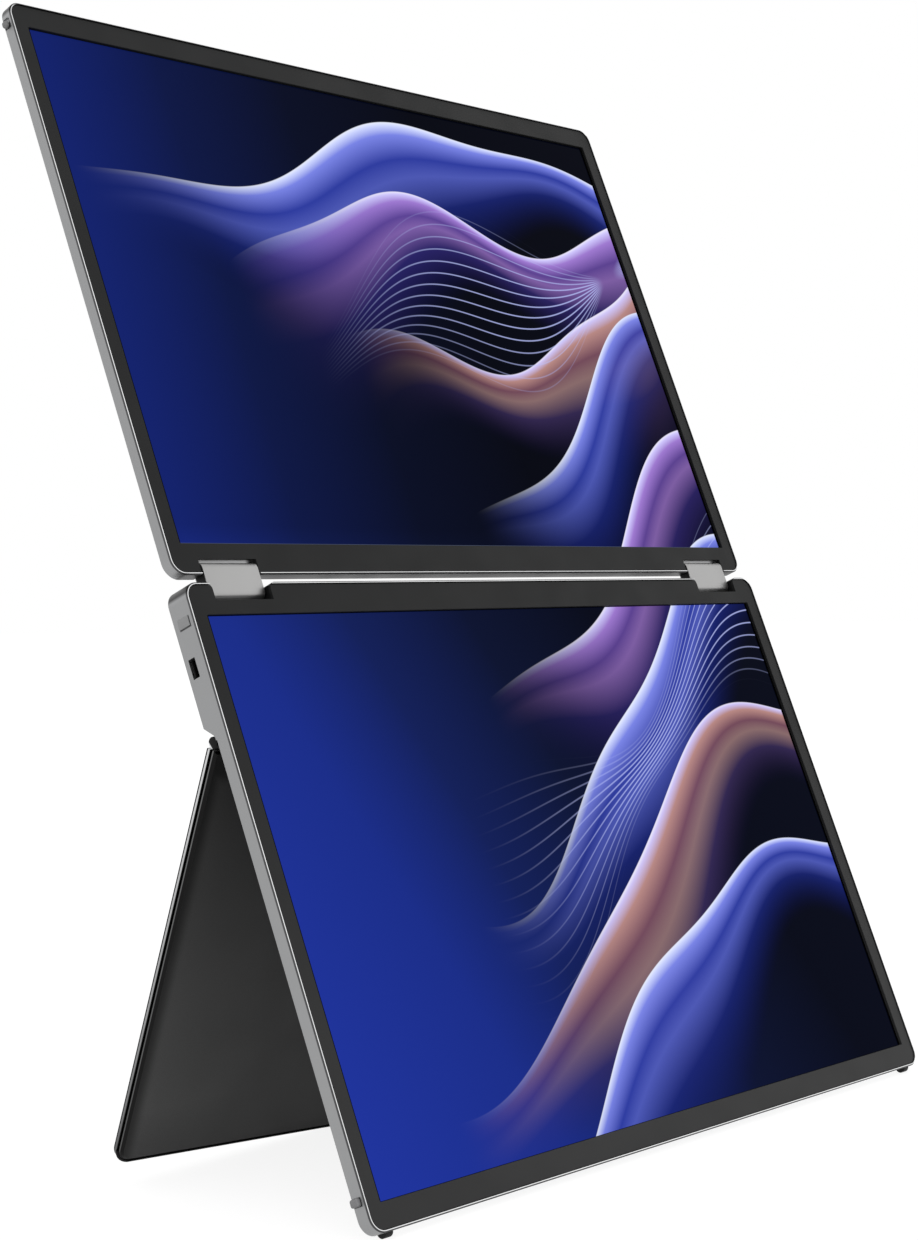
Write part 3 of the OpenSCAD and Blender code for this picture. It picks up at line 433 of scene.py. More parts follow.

# %% [markdown]
# ## Make the metals
# The two covers share the recipe, but their rims lie at different depths and their bumpers at
# different places, so each has its own material. The painted shadows in the gaps round the bumpers
# and the painted shade of the upper corners are given as ranges of y and of z. The links are a
# little lighter and finer, and the turned parts inside the hinge are smoother.

# %% Metals
# Patches of y and z that get a painted shadow in the gaps round the bumpers.
LOWER_GAP_SHADOWS = (((-16.1, -12.3), (-7.3, -1.75)), ((-202.7, -199.8), (-4.9, -1.3)))
UPPER_GAP_SHADOWS = (((202.4, 205.9), (-7.0, -3.9)),)
# Where the painted shade of the upper corners begins and where it is full.
LOWER_CORNER_SHADE_Y = (-6.2, -5.0)
UPPER_CORNER_SHADE_Y = (207.2, 208.6)
# Heights above which the cut is left out as painted shade; the lower cover keeps it all round.
BRIGHT_ALL_ROUND = 300
UPPER_CUT_SHADED_ABOVE = 211.2
lower_metal = cover_metal(
    "satin_metal_lower", "lower_back_cover", LOWER_GAP_SHADOWS, LOWER_CORNER_SHADE_Y, BRIGHT_ALL_ROUND)
upper_metal = cover_metal(
    "satin_metal_upper", "upper_back_cover", UPPER_GAP_SHADOWS, UPPER_CORNER_SHADE_Y, UPPER_CUT_SHADED_ABOVE)
link_metal = finish("satin_metal_link", (0.36, 0.358, 0.356, 1), 0.38, metallic=1.0, grain=0.1)
turned_steel = finish(
    "turned_steel", (0.62, 0.62, 0.63, 1), 0.24, metallic=1.0, grain=0.3, depth=0.002)
print("metals made:", lower_metal.name, upper_metal.name, link_metal.name, turned_steel.name)

# %% [markdown]
# ## The stand's metal tray
#
# The stand is a metal tray with a dark soft-touch lining in it. The thin edge of the tray shows as
# lines: a dark outer corner, then a bright cut that fades towards the foot, then a black groove
# beside the lining. The dark of the edge and the groove and the fade of the cut are painted shade.
# The lines follow the depth of the stand, so bands of z draw them.

# %% Stand tray metal
STAND_RUN = (-150, -10)
TRAY_EDGE_SHADE_Z = (-1.96, -1.9)
TRAY_EDGE_SHADE_TONE = 0.02
EDGE_LINE_Z = (-1.35, -0.55)
EDGE_LINE_PAINTED_FADE = (0.12, 0.8)
EDGE_SOFT = 0.05


def stand_tray_metal():
    """Satin outside; the thin edge in painted shade, with a bright cut line along its middle that fades by painted
    shade.
    """
    material = finish("satin_metal_stand", SATIN, 0.40, metallic=1.0, grain=0.14, depth=0.006)
    tree = material.node_tree
    target, satin = base_of(material)
    x, y, z = axes(tree, stand_coordinates(tree))
    # Painted shade over the thin edge, its outer corner and the groove beside the lining.
    colour = blend(tree, spread(tree, z, *TRAY_EDGE_SHADE_Z), satin, grey(TRAY_EDGE_SHADE_TONE))
    # The cut line fades towards the foot by painted shade.
    level = spread(tree, y, *STAND_RUN, *EDGE_LINE_PAINTED_FADE)
    line = product(tree, band(tree, z, *EDGE_LINE_Z, EDGE_SOFT), level)
    tree.links.new(blend(tree, line, colour, CUT), target)
    return material


stand_metal = stand_tray_metal()
print("made", stand_metal.name)

# %% [markdown]
# ## The stand's soft lining
#
# The lining has a lighter border that slants down to the tray, a painted highlight that grows
# towards the pivot. Its face is darkest just inside the border and lightest near its outer lower
# corner, by painted shade and sheen. The distance to the nearest edge makes the first change, and
# soft ramps along and across the stand make the others. Each ramp gives its start, its end and the
# levels at both.

# %% Stand lining
LINING_HALF = 157.1
LINING_FOOT = 154.6
LINING_TOP = -9.0
FACE_SHADE_FROM_EDGE = (0.2, 6.0, 0.006, 0.078)
FACE_SHEEN_UPWARD = (-130, -20, 1.0, 0.5)
FACE_SHEEN_FROM_FOOT = (0, 24, 0.5, 1.0)
FACE_SHEEN_RIGHTWARD = (-150, -60, 1.0, 0.5)
SPECK_SIZE = 0.35
SPECK_LEVELS = (0.9, 1.1)
FACE_Z = (1.9, 1.97, 0.1, 1.0)
BORDER_HIGHLIGHT_LEVELS = (0.1, 0.17)
BORDER_Z = (0.55, 1.1)


def stand_lining():
    """Soft-touch black, with a painted highlight on its slanted border and painted shade and sheen on its face."""
    material = finish("soft_touch_black", grey(0.01), 0.46, specular=0.16, grain=0.16, vary=0.12)
    tree = material.node_tree
    x, y, z = axes(tree, stand_coordinates(tree))
    from_side = maths(tree, "SUBTRACT", LINING_HALF, maths(tree, "ABSOLUTE", x))
    from_foot = maths(tree, "ADD", y, LINING_FOOT)
    from_edge = maths(tree, "MINIMUM", from_side, from_foot)
    from_edge = maths(tree, "MINIMUM", from_edge, maths(tree, "SUBTRACT", LINING_TOP, y))
    speck = noise(tree, stand_coordinates(tree), SPECK_SIZE)
    # The face's near black, with painted shade by the border and painted sheen towards the outer lower corner.
    face = product(
        tree,
        spread(tree, from_edge, *FACE_SHADE_FROM_EDGE, smooth=True),
        spread(tree, y, *FACE_SHEEN_UPWARD),
        spread(tree, from_foot, *FACE_SHEEN_FROM_FOOT),
        spread(tree, x, *FACE_SHEEN_RIGHTWARD),
        spread(tree, speck, *NOISE_RANGE, *SPECK_LEVELS),
        spread(tree, z, *FACE_Z),
    )
    # Painted highlight on the slanted border, lighter towards the pivot.
    border = spread(tree, y, *STAND_RUN, *BORDER_HIGHLIGHT_LEVELS)
    slant = band(tree, z, *BORDER_Z, EDGE_SOFT)
    level = maths(tree, "MULTIPLY_ADD", slant, maths(tree, "SUBTRACT", border, face), face)
    colour = add(tree, "ShaderNodeCombineColor", None, {0: level, 1: level, 2: level}).outputs[0]
    tree.links.new(colour, shader_of(material).inputs["Base Color"])
    return material


lining_black = stand_lining()
print("made", lining_black.name)

# %% [markdown]
# ## The ends of the spine
#
# The round spine at the stand's pivot ends in a small disc on each side. It is black, with a
# painted highlight on its lower back side: a crescent of bright cut metal. The crescent lies where a
# point is far enough from the pivot in that direction, so one threshold draws it, and the same
# mask makes that part metal.

# %% Spine cap
CRESCENT_DOWN = 0.3
CRESCENT_BACK = 0.95
CRESCENT_FROM = (1.2, 1.35)


def cap_finish():
    """A black disc at the end of the spine, with a painted highlight of bright cut metal on its lower back side.
    """
    material = finish("spine_cap", grey(0.004), 0.4, specular=0.12, grain=0.2, depth=0.002)
    tree = material.node_tree
    target, dark = base_of(material)
    x, y, z = axes(tree, panel_coordinates(tree))
    pivot = panel_turn.transposed() @ (stand_origin - panel_origin) / MM
    down = maths(tree, "MULTIPLY", maths(tree, "SUBTRACT", pivot.y, y), CRESCENT_DOWN)
    back = maths(tree, "MULTIPLY", maths(tree, "SUBTRACT", pivot.z, z), CRESCENT_BACK)
    # Painted highlight: a crescent of bright cut metal.
    crescent = spread(tree, maths(tree, "ADD", down, back), *CRESCENT_FROM)
    tree.links.new(blend(tree, crescent, dark, CUT), target)
    tree.links.new(crescent, shader_of(material).inputs["Metallic"])
    return material


cap_metal = cap_finish()
print("made", cap_metal.name)

# %% [markdown]
# ## Bezel film
#
# The bezel round each screen is a fine matte film. It catches a little more light towards the foot
# of the lower screen, which a slow ramp up the screens adds to its near black.

# %% Bezel
BEZEL_RUN = (-200, -40)
BEZEL_FOOT_SHARE = 0.5
BEZEL_FOOT_TONE = 0.05
bezel_black = finish("bezel_black", (0.0085, 0.0088, 0.009, 1), 0.5, specular=0.16, grain=0.09, vary=0.1)
bezel_tree = bezel_black.node_tree
bezel_target, bezel_film = base_of(bezel_black)
bezel_y = axes(bezel_tree, panel_coordinates(bezel_tree))[1]
lit_foot = spread(bezel_tree, bezel_y, *BEZEL_RUN, BEZEL_FOOT_SHARE, 0.0)
bezel_tree.links.new(blend(bezel_tree, lit_foot, bezel_film, grey(BEZEL_FOOT_TONE)), bezel_target)
print("made", bezel_black.name)

# %% [markdown]
# ## Rubbers
#
# The feet and bumpers are rubber with a coarser skin, so their bump is deeper. One grey rubber
# serves all bumpers. By their place up the screens, the upper ones are a shade darker, and the
# flush tabs beside the hinge are moulded in the tone of the metal.

# %% Rubbers
TAB_TONE = (0.3, 0.302, 0.305, 1)
TAB_Y = (-60, 60)
UPPER_PAD_TONE = 0.22
UPPER_PAD_FROM = (100, 101)
black_rubber = finish("black_rubber", grey(0.004), 0.7, specular=0.12, grain=0.22, depth=0.02)
foot_rubber = finish("foot_rubber", grey(0.012), 0.72, specular=0.3, grain=0.22, depth=0.02)
grey_rubber = finish(
    "grey_rubber", (0.25, 0.25, 0.255, 1), 0.66, specular=0.35, grain=0.2, depth=0.015)
pad_tree = grey_rubber.node_tree
pad_target, pad_grey = base_of(grey_rubber)
pad_y = axes(pad_tree, panel_coordinates(pad_tree))[1]
upper_pad = spread(pad_tree, pad_y, *UPPER_PAD_FROM)
pad_colour = blend(pad_tree, upper_pad, pad_grey, grey(UPPER_PAD_TONE))
pad_colour = blend(pad_tree, band(pad_tree, pad_y, *TAB_Y), pad_colour, TAB_TONE)
pad_tree.links.new(pad_colour, pad_target)
print("made", black_rubber.name, foot_rubber.name, grey_rubber.name)

# %% [markdown]
# ## Dark parts and sheets
#
# The cores of the links and the knuckles inside the notches are black, and darker still by painted
# shade, so that a notch reads empty.
# The switches, the ribbons and the metal behind the screens are closed in, and plain finishes do.

# %% Dark parts and sheets
# Black parts made darker still by painted shade inside the notches.
core_black = finish("core_black", (0.006, 0.006, 0.0062, 1), 0.5, specular=0.2, grain=0.15, vary=0.1)
coated_steel_and_shade = finish("coated_steel_and_shade", (0.004, 0.004, 0.0042, 1), 0.5, specular=0.12, vary=0.1)
switch_black = finish("switch_black", grey(0.02), 0.5, grain=0.2)
film = finish("polyimide_film", (0.42, 0.19, 0.035, 1), 0.34, grain=0.5, vary=0.12)
sheet_steel = finish("sheet_steel", grey(0.5), 0.38, metallic=1.0, grain=0.25)
print("made", core_black.name, coated_steel_and_shade.name, switch_black.name, film.name, sheet_steel.name)

# %% [markdown]
# ## Circuit board
#
# The boards are closed in, and show only when someone takes the covers away. A brick pattern of
# thin copper lines on dark green reads as tracks, and is enough for that.

# %% Circuit board
TRACK_SCALE = 0.5
TRACK_WIDTH = 0.06
TRACK_GREEN = (0.02, 0.14, 0.07, 1)
board_green = finish("board_green", (0.008, 0.055, 0.028, 1), 0.36, grain=0.3, vary=0.15)
board_tree = board_green.node_tree
board_target, board_base = base_of(board_green)
tracks = add(board_tree, "ShaderNodeTexBrick", None, {
    "Vector": panel_coordinates(board_tree), "Scale": TRACK_SCALE, "Mortar Size": TRACK_WIDTH,
    "Color1": grey(0), "Color2": grey(0), "Mortar": grey(1)}).outputs["Color"]
board_tree.links.new(blend(board_tree, tracks, board_base, TRACK_GREEN), board_target)
print("made", board_green.name)

# %% [markdown]
# ## The picture on the screens
#
# The two screens show one picture that runs on across the hinge: deep blue at the left that sinks
# to black, and veils of light at the right, each with a bright crest, crossed by a bundle of fine
# threads. It is drawn with arithmetic alone, so it has no resolution. Everything in it hangs on
# lines: a line is a slope plus a long and a short wave.

# %% Lines and colour ramps
def ramp(tree, share, stops):
    """A colour ramp; a stop is its place and its colour with alpha."""
    made = add(tree, "ShaderNodeValToRGB", None, {0: share})
    elements = made.color_ramp.elements
    while len(elements) < len(stops):
        elements.new(1.0)
    for element, (place, colour) in zip(elements, stops):
        element.position = place
        element.color = colour
    return made


def wave(tree, x, length, phase, height):
    """A sine wave along x, with its length and height in millimetres."""
    angle = maths(tree, "MULTIPLY_ADD", x, 2 * math.pi / length, phase)
    return maths(tree, "MULTIPLY", maths(tree, "SINE", angle), height)


def crest_line(tree, x, level, slope, long_wave, short_wave):
    """The height of a line at x: a slope and two waves of length, phase and height."""
    line = maths(tree, "MULTIPLY_ADD", x, slope, level)
    line = maths(tree, "ADD", line, wave(tree, x, *long_wave))
    return maths(tree, "ADD", line, wave(tree, x, *short_wave))


print("lines ready")

# %% [markdown]
# ## Veils
#
# A veil hangs from its crest line. The distance below the crest, divided by a thickness that swells
# and shrinks along x, runs through a colour ramp: almost white at the crest, then violet, blue or
# a warm tone with a second soft fold, then clear. Towards the left each veil fades in slowly.

# %% Veil
CREST_SOFT = 0.45
SWELL_LENGTH = 0.8
SWELL_PHASE = 1.0
SWELL_HEIGHT = 0.45
COOL = ((0.0, (0.86, 0.9, 1.0, 1)), (0.022, (0.6, 0.66, 1.0, 1)), (0.07, (0.2, 0.24, 0.82, 0.96)),
        (0.2, (0.03, 0.05, 0.4, 0.86)), (0.3, (0.09, 0.12, 0.56, 0.8)), (0.5, (0.01, 0.02, 0.2, 0.7)),
        (1.0, (0.0, 0.0, 0.02, 0)))
VIOLET = ((0.0, (0.9, 0.88, 1.0, 1)), (0.025, (0.62, 0.56, 0.98, 1)), (0.08, (0.36, 0.2, 0.66, 0.96)),
          (0.2, (0.12, 0.06, 0.32, 0.86)), (0.3, (0.26, 0.14, 0.46, 0.78)), (0.5, (0.03, 0.02, 0.16, 0.65)),
          (1.0, (0.0, 0.0, 0.02, 0)))
WARM = ((0.0, (0.9, 0.88, 1.0, 1)), (0.025, (0.62, 0.55, 0.92, 1)), (0.09, (0.5, 0.26, 0.24, 0.95)),
        (0.22, (0.2, 0.08, 0.12, 0.84)), (0.34, (0.34, 0.2, 0.2, 0.72)), (0.55, (0.05, 0.03, 0.12, 0.6)),
        (1.0, (0.0, 0.0, 0.02, 0)))


def veil(tree, picture, x, y, crest, body, stops, start, full):
    """Lays one veil over the picture. It begins to show at start and is whole at full."""
    below = maths(tree, "SUBTRACT", crest_line(tree, x, *crest), y)
    length, phase = crest[2][0], crest[2][1]
    swell = wave(tree, x, length * SWELL_LENGTH, phase + SWELL_PHASE, body * SWELL_HEIGHT)
    thick = maths(tree, "ADD", swell, body)
    colours = ramp(tree, maths(tree, "DIVIDE", below, thick), stops)
    edge = spread(tree, below, 0.0, CREST_SOFT, smooth=True)
    shown = product(tree, edge, spread(tree, x, start, full, smooth=True))
    share = maths(tree, "MULTIPLY", shown, colours.outputs["Alpha"], clamp=True)
    return blend(tree, share, picture, colours.outputs["Color"])


print("a cool veil has", len(COOL), "stops")

# %% [markdown]
# ## Threads
#
# The threads fill the space between two such lines. The place between the lines, times their
# number, is folded to and fro by a ping-pong, and a thread lies where that comes near zero. They
# fade at both borders of the bundle and where its two lines meet, so no thread ends abruptly.

# %% Threads
THREAD_BLUE = (0.5, 0.56, 1.0, 1)
THREAD_WIDTH = (0.12, 0.42)
THREAD_STRENGTH = 0.7
BUNDLE_BORDER = 0.35
BUNDLE_OPEN = (4, 16)


def threads(tree, picture, x, y, upper, lower, count, start, full):
    """Lays fine lines between two crest lines, which fade out where those two meet."""
    top = crest_line(tree, x, *upper)
    depth = maths(tree, "SUBTRACT", top, crest_line(tree, x, *lower))
    across = maths(tree, "DIVIDE", maths(tree, "SUBTRACT", top, y), depth)
    room = maths(tree, "ABSOLUTE", depth)
    folded = maths(tree, "PINGPONG", maths(tree, "MULTIPLY", across, count), 0.5)
    near = maths(tree, "MULTIPLY", folded, maths(tree, "DIVIDE", room, count))
    line = product(
        tree,
        spread(tree, near, *THREAD_WIDTH, 1.0, 0.0, smooth=True),
        spread(tree, across, 0.0, BUNDLE_BORDER),
        spread(tree, across, 1 - BUNDLE_BORDER, 1.0, 1.0, 0.0),
        THREAD_STRENGTH,
        spread(tree, x, start, full, smooth=True),
        spread(tree, room, *BUNDLE_OPEN, smooth=True),
    )
    return blend(tree, line, picture, THREAD_BLUE)


print("threads fade within", BUNDLE_BORDER, "of the bundle's borders")

# %% [markdown]
# ## Lay out the picture
#
# Each row is one veil: its crest line, its thickness, its colours, and where it begins to show and
# is whole. A line is its height at the middle, its slope, and the length, phase and height of its
# two waves. A bundle of threads has two lines, their number, and where it begins and is whole.

# %% Veils and threads
VEILS = (
    ((176, 0.10, (300, 0.6, 16), (126, 1.1, 4)), 62, COOL, -150, -40),
    ((140, 0.24, (280, 1.9, 20), (118, 0.2, 5)), 60, VIOLET, -90, 20),
    ((92, 0.34, (300, 3.0, 22), (110, 2.2, 5)), 56, WARM, -40, 60),
    ((40, 0.40, (260, 4.2, 20), (120, 0.9, 5)), 50, COOL, 0, 90),
    ((-20, 0.42, (300, 4.6, 22), (130, 1.7, 6)), 58, VIOLET, -30, 70),
    ((-76, 0.46, (320, 5.3, 24), (120, 0.7, 6)), 62, COOL, -70, 40),
    ((-126, 0.44, (280, 6.0, 20), (140, 2.9, 5)), 60, WARM, -110, 20),
    ((-172, 0.42, (300, 0.4, 18), (120, 1.9, 5)), 56, COOL, -150, -10),
)
THREADS = (
    ((118, 0.26, (310, 0.9, 30), (150, 0.5, 6)), (76, 0.44, (260, 2.8, 26), (130, 1.5, 5)), 15, -60, 60),
    ((-60, 0.50, (300, 3.8, 26), (140, 2.0, 5)), (-118, 0.36, (270, 5.6, 28), (120, 0.4, 6)), 15, -60, 60),
)
print("picture made of", len(VEILS), "veils and", len(THREADS), "bundles of threads")

# %% [markdown]
# ## The lit ground
#
# Behind the veils the picture is deep blue at the left and sinks to black at the right, along
# lines that slant on the lower screen. The upper screen is a little darker.

# %% Ground
GROUND_SLANT = 0.42
GROUND_RUN = (-240, 40)
GROUND = ((0.0, (0.014, 0.035, 0.35, 1)), (0.33, (0.010, 0.026, 0.25, 1)),
          (0.52, (0.006, 0.014, 0.1, 1)), (0.74, (0.003, 0.006, 0.03, 1)),
          (1.0, (0.001, 0.002, 0.009, 1)))
UPPER_DIMMED = (0, 20, 0.0, 0.4)


def lit_ground(tree, x, y):
    """Blue that sinks to black towards the right."""
    slant = maths(tree, "MULTIPLY_ADD", maths(tree, "MINIMUM", y, 0.0), GROUND_SLANT, x)
    ground = ramp(tree, spread(tree, slant, *GROUND_RUN), GROUND).outputs["Color"]
    return blend(tree, spread(tree, y, *UPPER_DIMMED), ground, grey(0))


print("ground has", len(GROUND), "stops")

# %% [markdown]
# ## Screen glass
#
# A lit screen is mostly light of its own, so the picture goes into the emission of a black glass,
# and a very weak reflection leaves it readable from any side. Outside the lit area the glass stays
# black. Along the foot of each lit area a faint line of light is a painted glint.

# %% Screen glass
LIT_W, LIT_H = 301.6, 189.7
GLASS_TONE = 0.001
GLASS_SHINE = 0.004
GLINT = (0.1, 0.13, 0.22, 1)
GLINT_BELOW = 0.1
GLINT_ABOVE = 0.3
SMEAR_SIZE = 25.0
SMEAR_ROUGHNESS = (0.06, 0.1)


def screen_glass():
    """Black glass with a lit picture on its two lit areas and a black border round them."""
    material = bpy.data.materials.new("screen_glass")
    material.use_nodes = True
    tree = material.node_tree
    shader = shader_of(material)
    shader.inputs["Base Color"].default_value = grey(GLASS_TONE)
    shader.inputs["Specular IOR Level"].default_value = GLASS_SHINE
    shader.inputs["Emission Strength"].default_value = 1.0
    x, y, z = axes(tree, panel_coordinates(tree))
    picture = lit_ground(tree, x, y)
    for row in VEILS:
        picture = veil(tree, picture, x, y, *row)
    for row in THREADS:
        picture = threads(tree, picture, x, y, *row)
    middle = (upper_glass[0].y + upper_glass[1].y) / 2
    from_middle = maths(tree, "SUBTRACT", maths(tree, "ABSOLUTE", y), middle)
    across = maths(tree, "LESS_THAN", maths(tree, "ABSOLUTE", x), LIT_W / 2)
    along = maths(tree, "LESS_THAN", maths(tree, "ABSOLUTE", from_middle), LIT_H / 2)
    picture = blend(tree, product(tree, across, along), grey(0), picture)
    # A painted glint along the foot of each lit area.
    foot = middle - LIT_H / 2
    glint = product(tree, across, band(tree, y, foot - GLINT_BELOW, foot + GLINT_ABOVE, 0.02))
    tree.links.new(blend(tree, glint, picture, GLINT), shader.inputs["Emission Color"])
    smear = noise(tree, panel_coordinates(tree), SMEAR_SIZE, 1.0)
    tree.links.new(spread(tree, smear, *NOISE_RANGE, *SMEAR_ROUGHNESS), shader.inputs["Roughness"])
    return material


glass = screen_glass()
print("made", glass.name, "lit", LIT_W, "by", LIT_H, "mm")

# %% [markdown]
# ## Rounded edges
#
# No machined edge is a perfect knife edge, and the thin highlight along a rounded one is what
# makes metal look real. The links, the stand's plate and the spine's ends get it: a copy of the
# solid is merged from its loose triangles, its flat faces are dissolved to clean polygons, and a
# bevel rounds what is sharp. The copy then stands for the solid.

# %% Rounded copies
MERGE_M = 2e-6
FLAT_ANGLE = math.radians(0.5)
SHARP_ANGLE = math.radians(35)


def loose_copy(node, name):
    """A copy of a CAD node that is free of its body and selected."""
    bpy.ops.object.select_all(action="DESELECT")
    nodes[node].select_set(True)
    bpy.context.view_layer.objects.active = nodes[node]
    bpy.ops.object.duplicate()
    piece = bpy.context.object
    piece.name = name
    piece.data.name = name
    for key in list(piece.keys()):
        del piece[key]
    piece.parent = None
    return piece


def rounded_copy(node, name, body, material, width):
    """A merged copy of a CAD node with rounded edges, which replaces the node."""
    piece = loose_copy(node, name)
    bpy.ops.object.mode_set(mode="EDIT")
    bpy.ops.mesh.select_all(action="SELECT")
    bpy.ops.mesh.remove_doubles(threshold=MERGE_M)
    bpy.ops.mesh.dissolve_limited(angle_limit=FLAT_ANGLE)
    bpy.ops.object.mode_set(mode="OBJECT")
    piece.data.materials.clear()
    piece.data.materials.append(material)
    bevel = piece.modifiers.new("round", "BEVEL")
    bevel.width = width * MM
    bevel.segments = 3
    bevel.limit_method = "ANGLE"
    bevel.angle_limit = SHARP_ANGLE
    bevel.miter_outer = "MITER_ARC"
    bpy.ops.object.modifier_apply(modifier=bevel.name)
    bpy.ops.object.shade_smooth_by_angle(angle=SHARP_ANGLE)
    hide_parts(node)
    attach(piece, body)
    print(name, len(piece.data.polygons), "faces")


for side in ("left", "right"):
    rounded_copy("link_sleeve_" + side, "link_cover_" + side, "links", link_metal, 0.18)
rounded_copy("stand_plate", "stand_tray", "stand", stand_metal, 0.2)
rounded_copy("stand_end_caps", "spine_caps", "stand", cap_metal, 0.25)

# %% [markdown]
# ## Feet
#
# Under the lower corners sit two short rubber feet with round soles. A cylinder that lies along the
# edge gives the sole, a bevel softens its ends, and a cut takes away the side that would be deep
# inside the cover. The second foot is a copy on the other side.

# %% Model the feet
def place_mesh(piece, frame_matrix):
    """Puts a piece that was modelled in millimetres in a part's own frame into the scene."""
    piece.data.transform(frame_matrix)
    piece.data.update()


foot_low, foot_high = panel_box("feet")
SOLE_R = 2.0
FOOT_L = 3.3
FOOT_X = 150.9
FOOT_ROUNDING = 0.45
FOOT_SUNK = 0.2
bpy.ops.object.select_all(action="DESELECT")
bpy.ops.mesh.primitive_cylinder_add(vertices=40, radius=SOLE_R, depth=FOOT_L, rotation=(0, math.pi / 2, 0))
bpy.ops.object.transform_apply(location=False, rotation=True, scale=False)
foot_pads = bpy.context.object
foot_pads.name = "foot_pads"
bpy.ops.object.mode_set(mode="EDIT")
bpy.ops.mesh.select_all(action="SELECT")
bpy.ops.mesh.bevel(offset=FOOT_ROUNDING, segments=4, affect="EDGES", clamp_overlap=True)
bpy.ops.mesh.select_all(action="SELECT")
bpy.ops.mesh.bisect(plane_co=(0, FOOT_SUNK, 0), plane_no=(0, 1, 0), clear_outer=True, use_fill=True)
bpy.ops.mesh.select_all(action="SELECT")
bpy.ops.transform.translate(value=(FOOT_X, foot_high.y, (foot_low.z + foot_high.z) / 2))
bpy.ops.mesh.duplicate_move(TRANSFORM_OT_translate={"value": (-2 * FOOT_X, 0, 0)})
bpy.ops.mesh.select_all(action="SELECT")
bpy.ops.mesh.normals_make_consistent(inside=False)
bpy.ops.object.mode_set(mode="OBJECT")
print("feet", len(foot_pads.data.polygons), "faces")

# %% [markdown]
# ## Put the feet in place
#
# A finished piece keeps its object at the origin and its place in its mesh, as the CAD nodes do.
# It then gets its finish, the solid it stands for is hidden, and it moves with its body.

# %% Place the feet
place_mesh(foot_pads, PANEL)
bpy.ops.object.shade_smooth_by_angle(angle=SHARP_ANGLE)
foot_pads.data.materials.append(foot_rubber)
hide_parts("feet")
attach(foot_pads, "lower_half")
print("feet stand at", round(min(v.co.z for v in foot_pads.data.vertices), 5), "m")

# %% [markdown]
# ## Bumpers
#
# Near the far corners of both halves a small rubber bumper stands out of each side, and beside the
# hinge a flush tab closes the moulding gap. Each is a cube at its own size, with its edges rounded
# by a bevel, and a mirror puts its twin on the other side. Two helpers do that.

# %% Rounded blocks and their mirror
def rounded_block(size, middle, rounding, segments):
    """A cube shaped to size in millimetres, with rounded edges, at middle."""
    bpy.ops.object.select_all(action="DESELECT")
    bpy.ops.mesh.primitive_cube_add(size=1)
    block = bpy.context.object
    bpy.ops.object.mode_set(mode="EDIT")
    bpy.ops.mesh.select_all(action="SELECT")
    bpy.ops.transform.resize(value=size)
    bpy.ops.mesh.bevel(offset=rounding, segments=segments, affect="EDGES", clamp_overlap=True)
    bpy.ops.mesh.select_all(action="SELECT")
    bpy.ops.transform.translate(value=middle)
    bpy.ops.object.mode_set(mode="OBJECT")
    return block


def mirrored_sides(blocks, name, node, body, material):
    """Joins blocks, mirrors them to the other side and puts them in place of a node."""
    bpy.ops.object.select_all(action="DESELECT")
    for block in blocks:
        block.select_set(True)
    bpy.context.view_layer.objects.active = blocks[0]
    if len(blocks) > 1:
        bpy.ops.object.join()
    piece = bpy.context.object
    piece.name = name
    mirror = piece.modifiers.new("mirror", "MIRROR")
    mirror.use_mirror_merge = False
    bpy.ops.object.modifier_apply(modifier=mirror.name)
    bpy.ops.object.mode_set(mode="EDIT")
    bpy.ops.mesh.select_all(action="SELECT")
    bpy.ops.mesh.normals_make_consistent(inside=False)
    bpy.ops.object.mode_set(mode="OBJECT")
    place_mesh(piece, PANEL)
    bpy.ops.object.shade_smooth_by_angle(angle=SHARP_ANGLE)
    piece.data.materials.append(material)
    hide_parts(node)
    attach(piece, body)
    print(name, len(piece.data.polygons), "faces")


print("block helpers ready")

# %% [markdown]
# ## Shape the bumpers
#
# The box of each solid pad gives a block its size and place, so the pads need no typed numbers of
# their own. The lower node holds a pad and a tab on each side, and their distance from the hinge
# tells them apart. The upper pads are drawn shorter, thinner and lower inside their solids.

# %% Shape the bumpers
TAB_REACH = 20.0
PAD_ROUNDING = 0.7
TAB_ROUNDING = 0.25
UPPER_ROUNDING = 0.9
UPPER_LENGTH = 0.7
UPPER_THICKNESS = 0.85
UPPER_LOWERED = 0.15


def box_of(points):
    """The size and the middle of the box round some points."""
    points = np.array(list(points))
    low, high = points.min(0), points.max(0)
    return Vector(high - low), Vector((low + high) / 2)


left_lower = [v for v in panel_points("lower_bumpers") if v[0] < 0]
far_box = box_of(v for v in left_lower if v[1] < -TAB_REACH)
tab_box = box_of(v for v in left_lower if v[1] > -TAB_REACH)
far_lower = rounded_block(*far_box, PAD_ROUNDING, 5)
flush_tab = rounded_block(*tab_box, TAB_ROUNDING, 4)
mirrored_sides([far_lower, flush_tab], "lower_side_bumpers", "lower_bumpers", "lower_half", grey_rubber)

upper_size, upper_middle = box_of(v for v in panel_points("upper_bumpers") if v[0] < 0)
upper_middle.y -= UPPER_LOWERED * upper_size.y
upper_size.y *= UPPER_LENGTH
upper_size.z *= UPPER_THICKNESS
far_upper = rounded_block(upper_size, upper_middle, UPPER_ROUNDING, 6)
mirrored_sides([far_upper], "upper_side_bumpers", "upper_bumpers", "upper_half", grey_rubber)

# %% [markdown]
# ## Rubber edge of the stand
#
# A black rubber bead runs along the stand's free edge and dies away round its two corners. Its
# section is a low arc. A curve with a bevel could make it, but a section that is extruded, turned
# and enlarged step by step can also die away. These are the corner it goes round, the knee where
# the slanting part of the edge meets the straight middle, and the helper that turns a section.

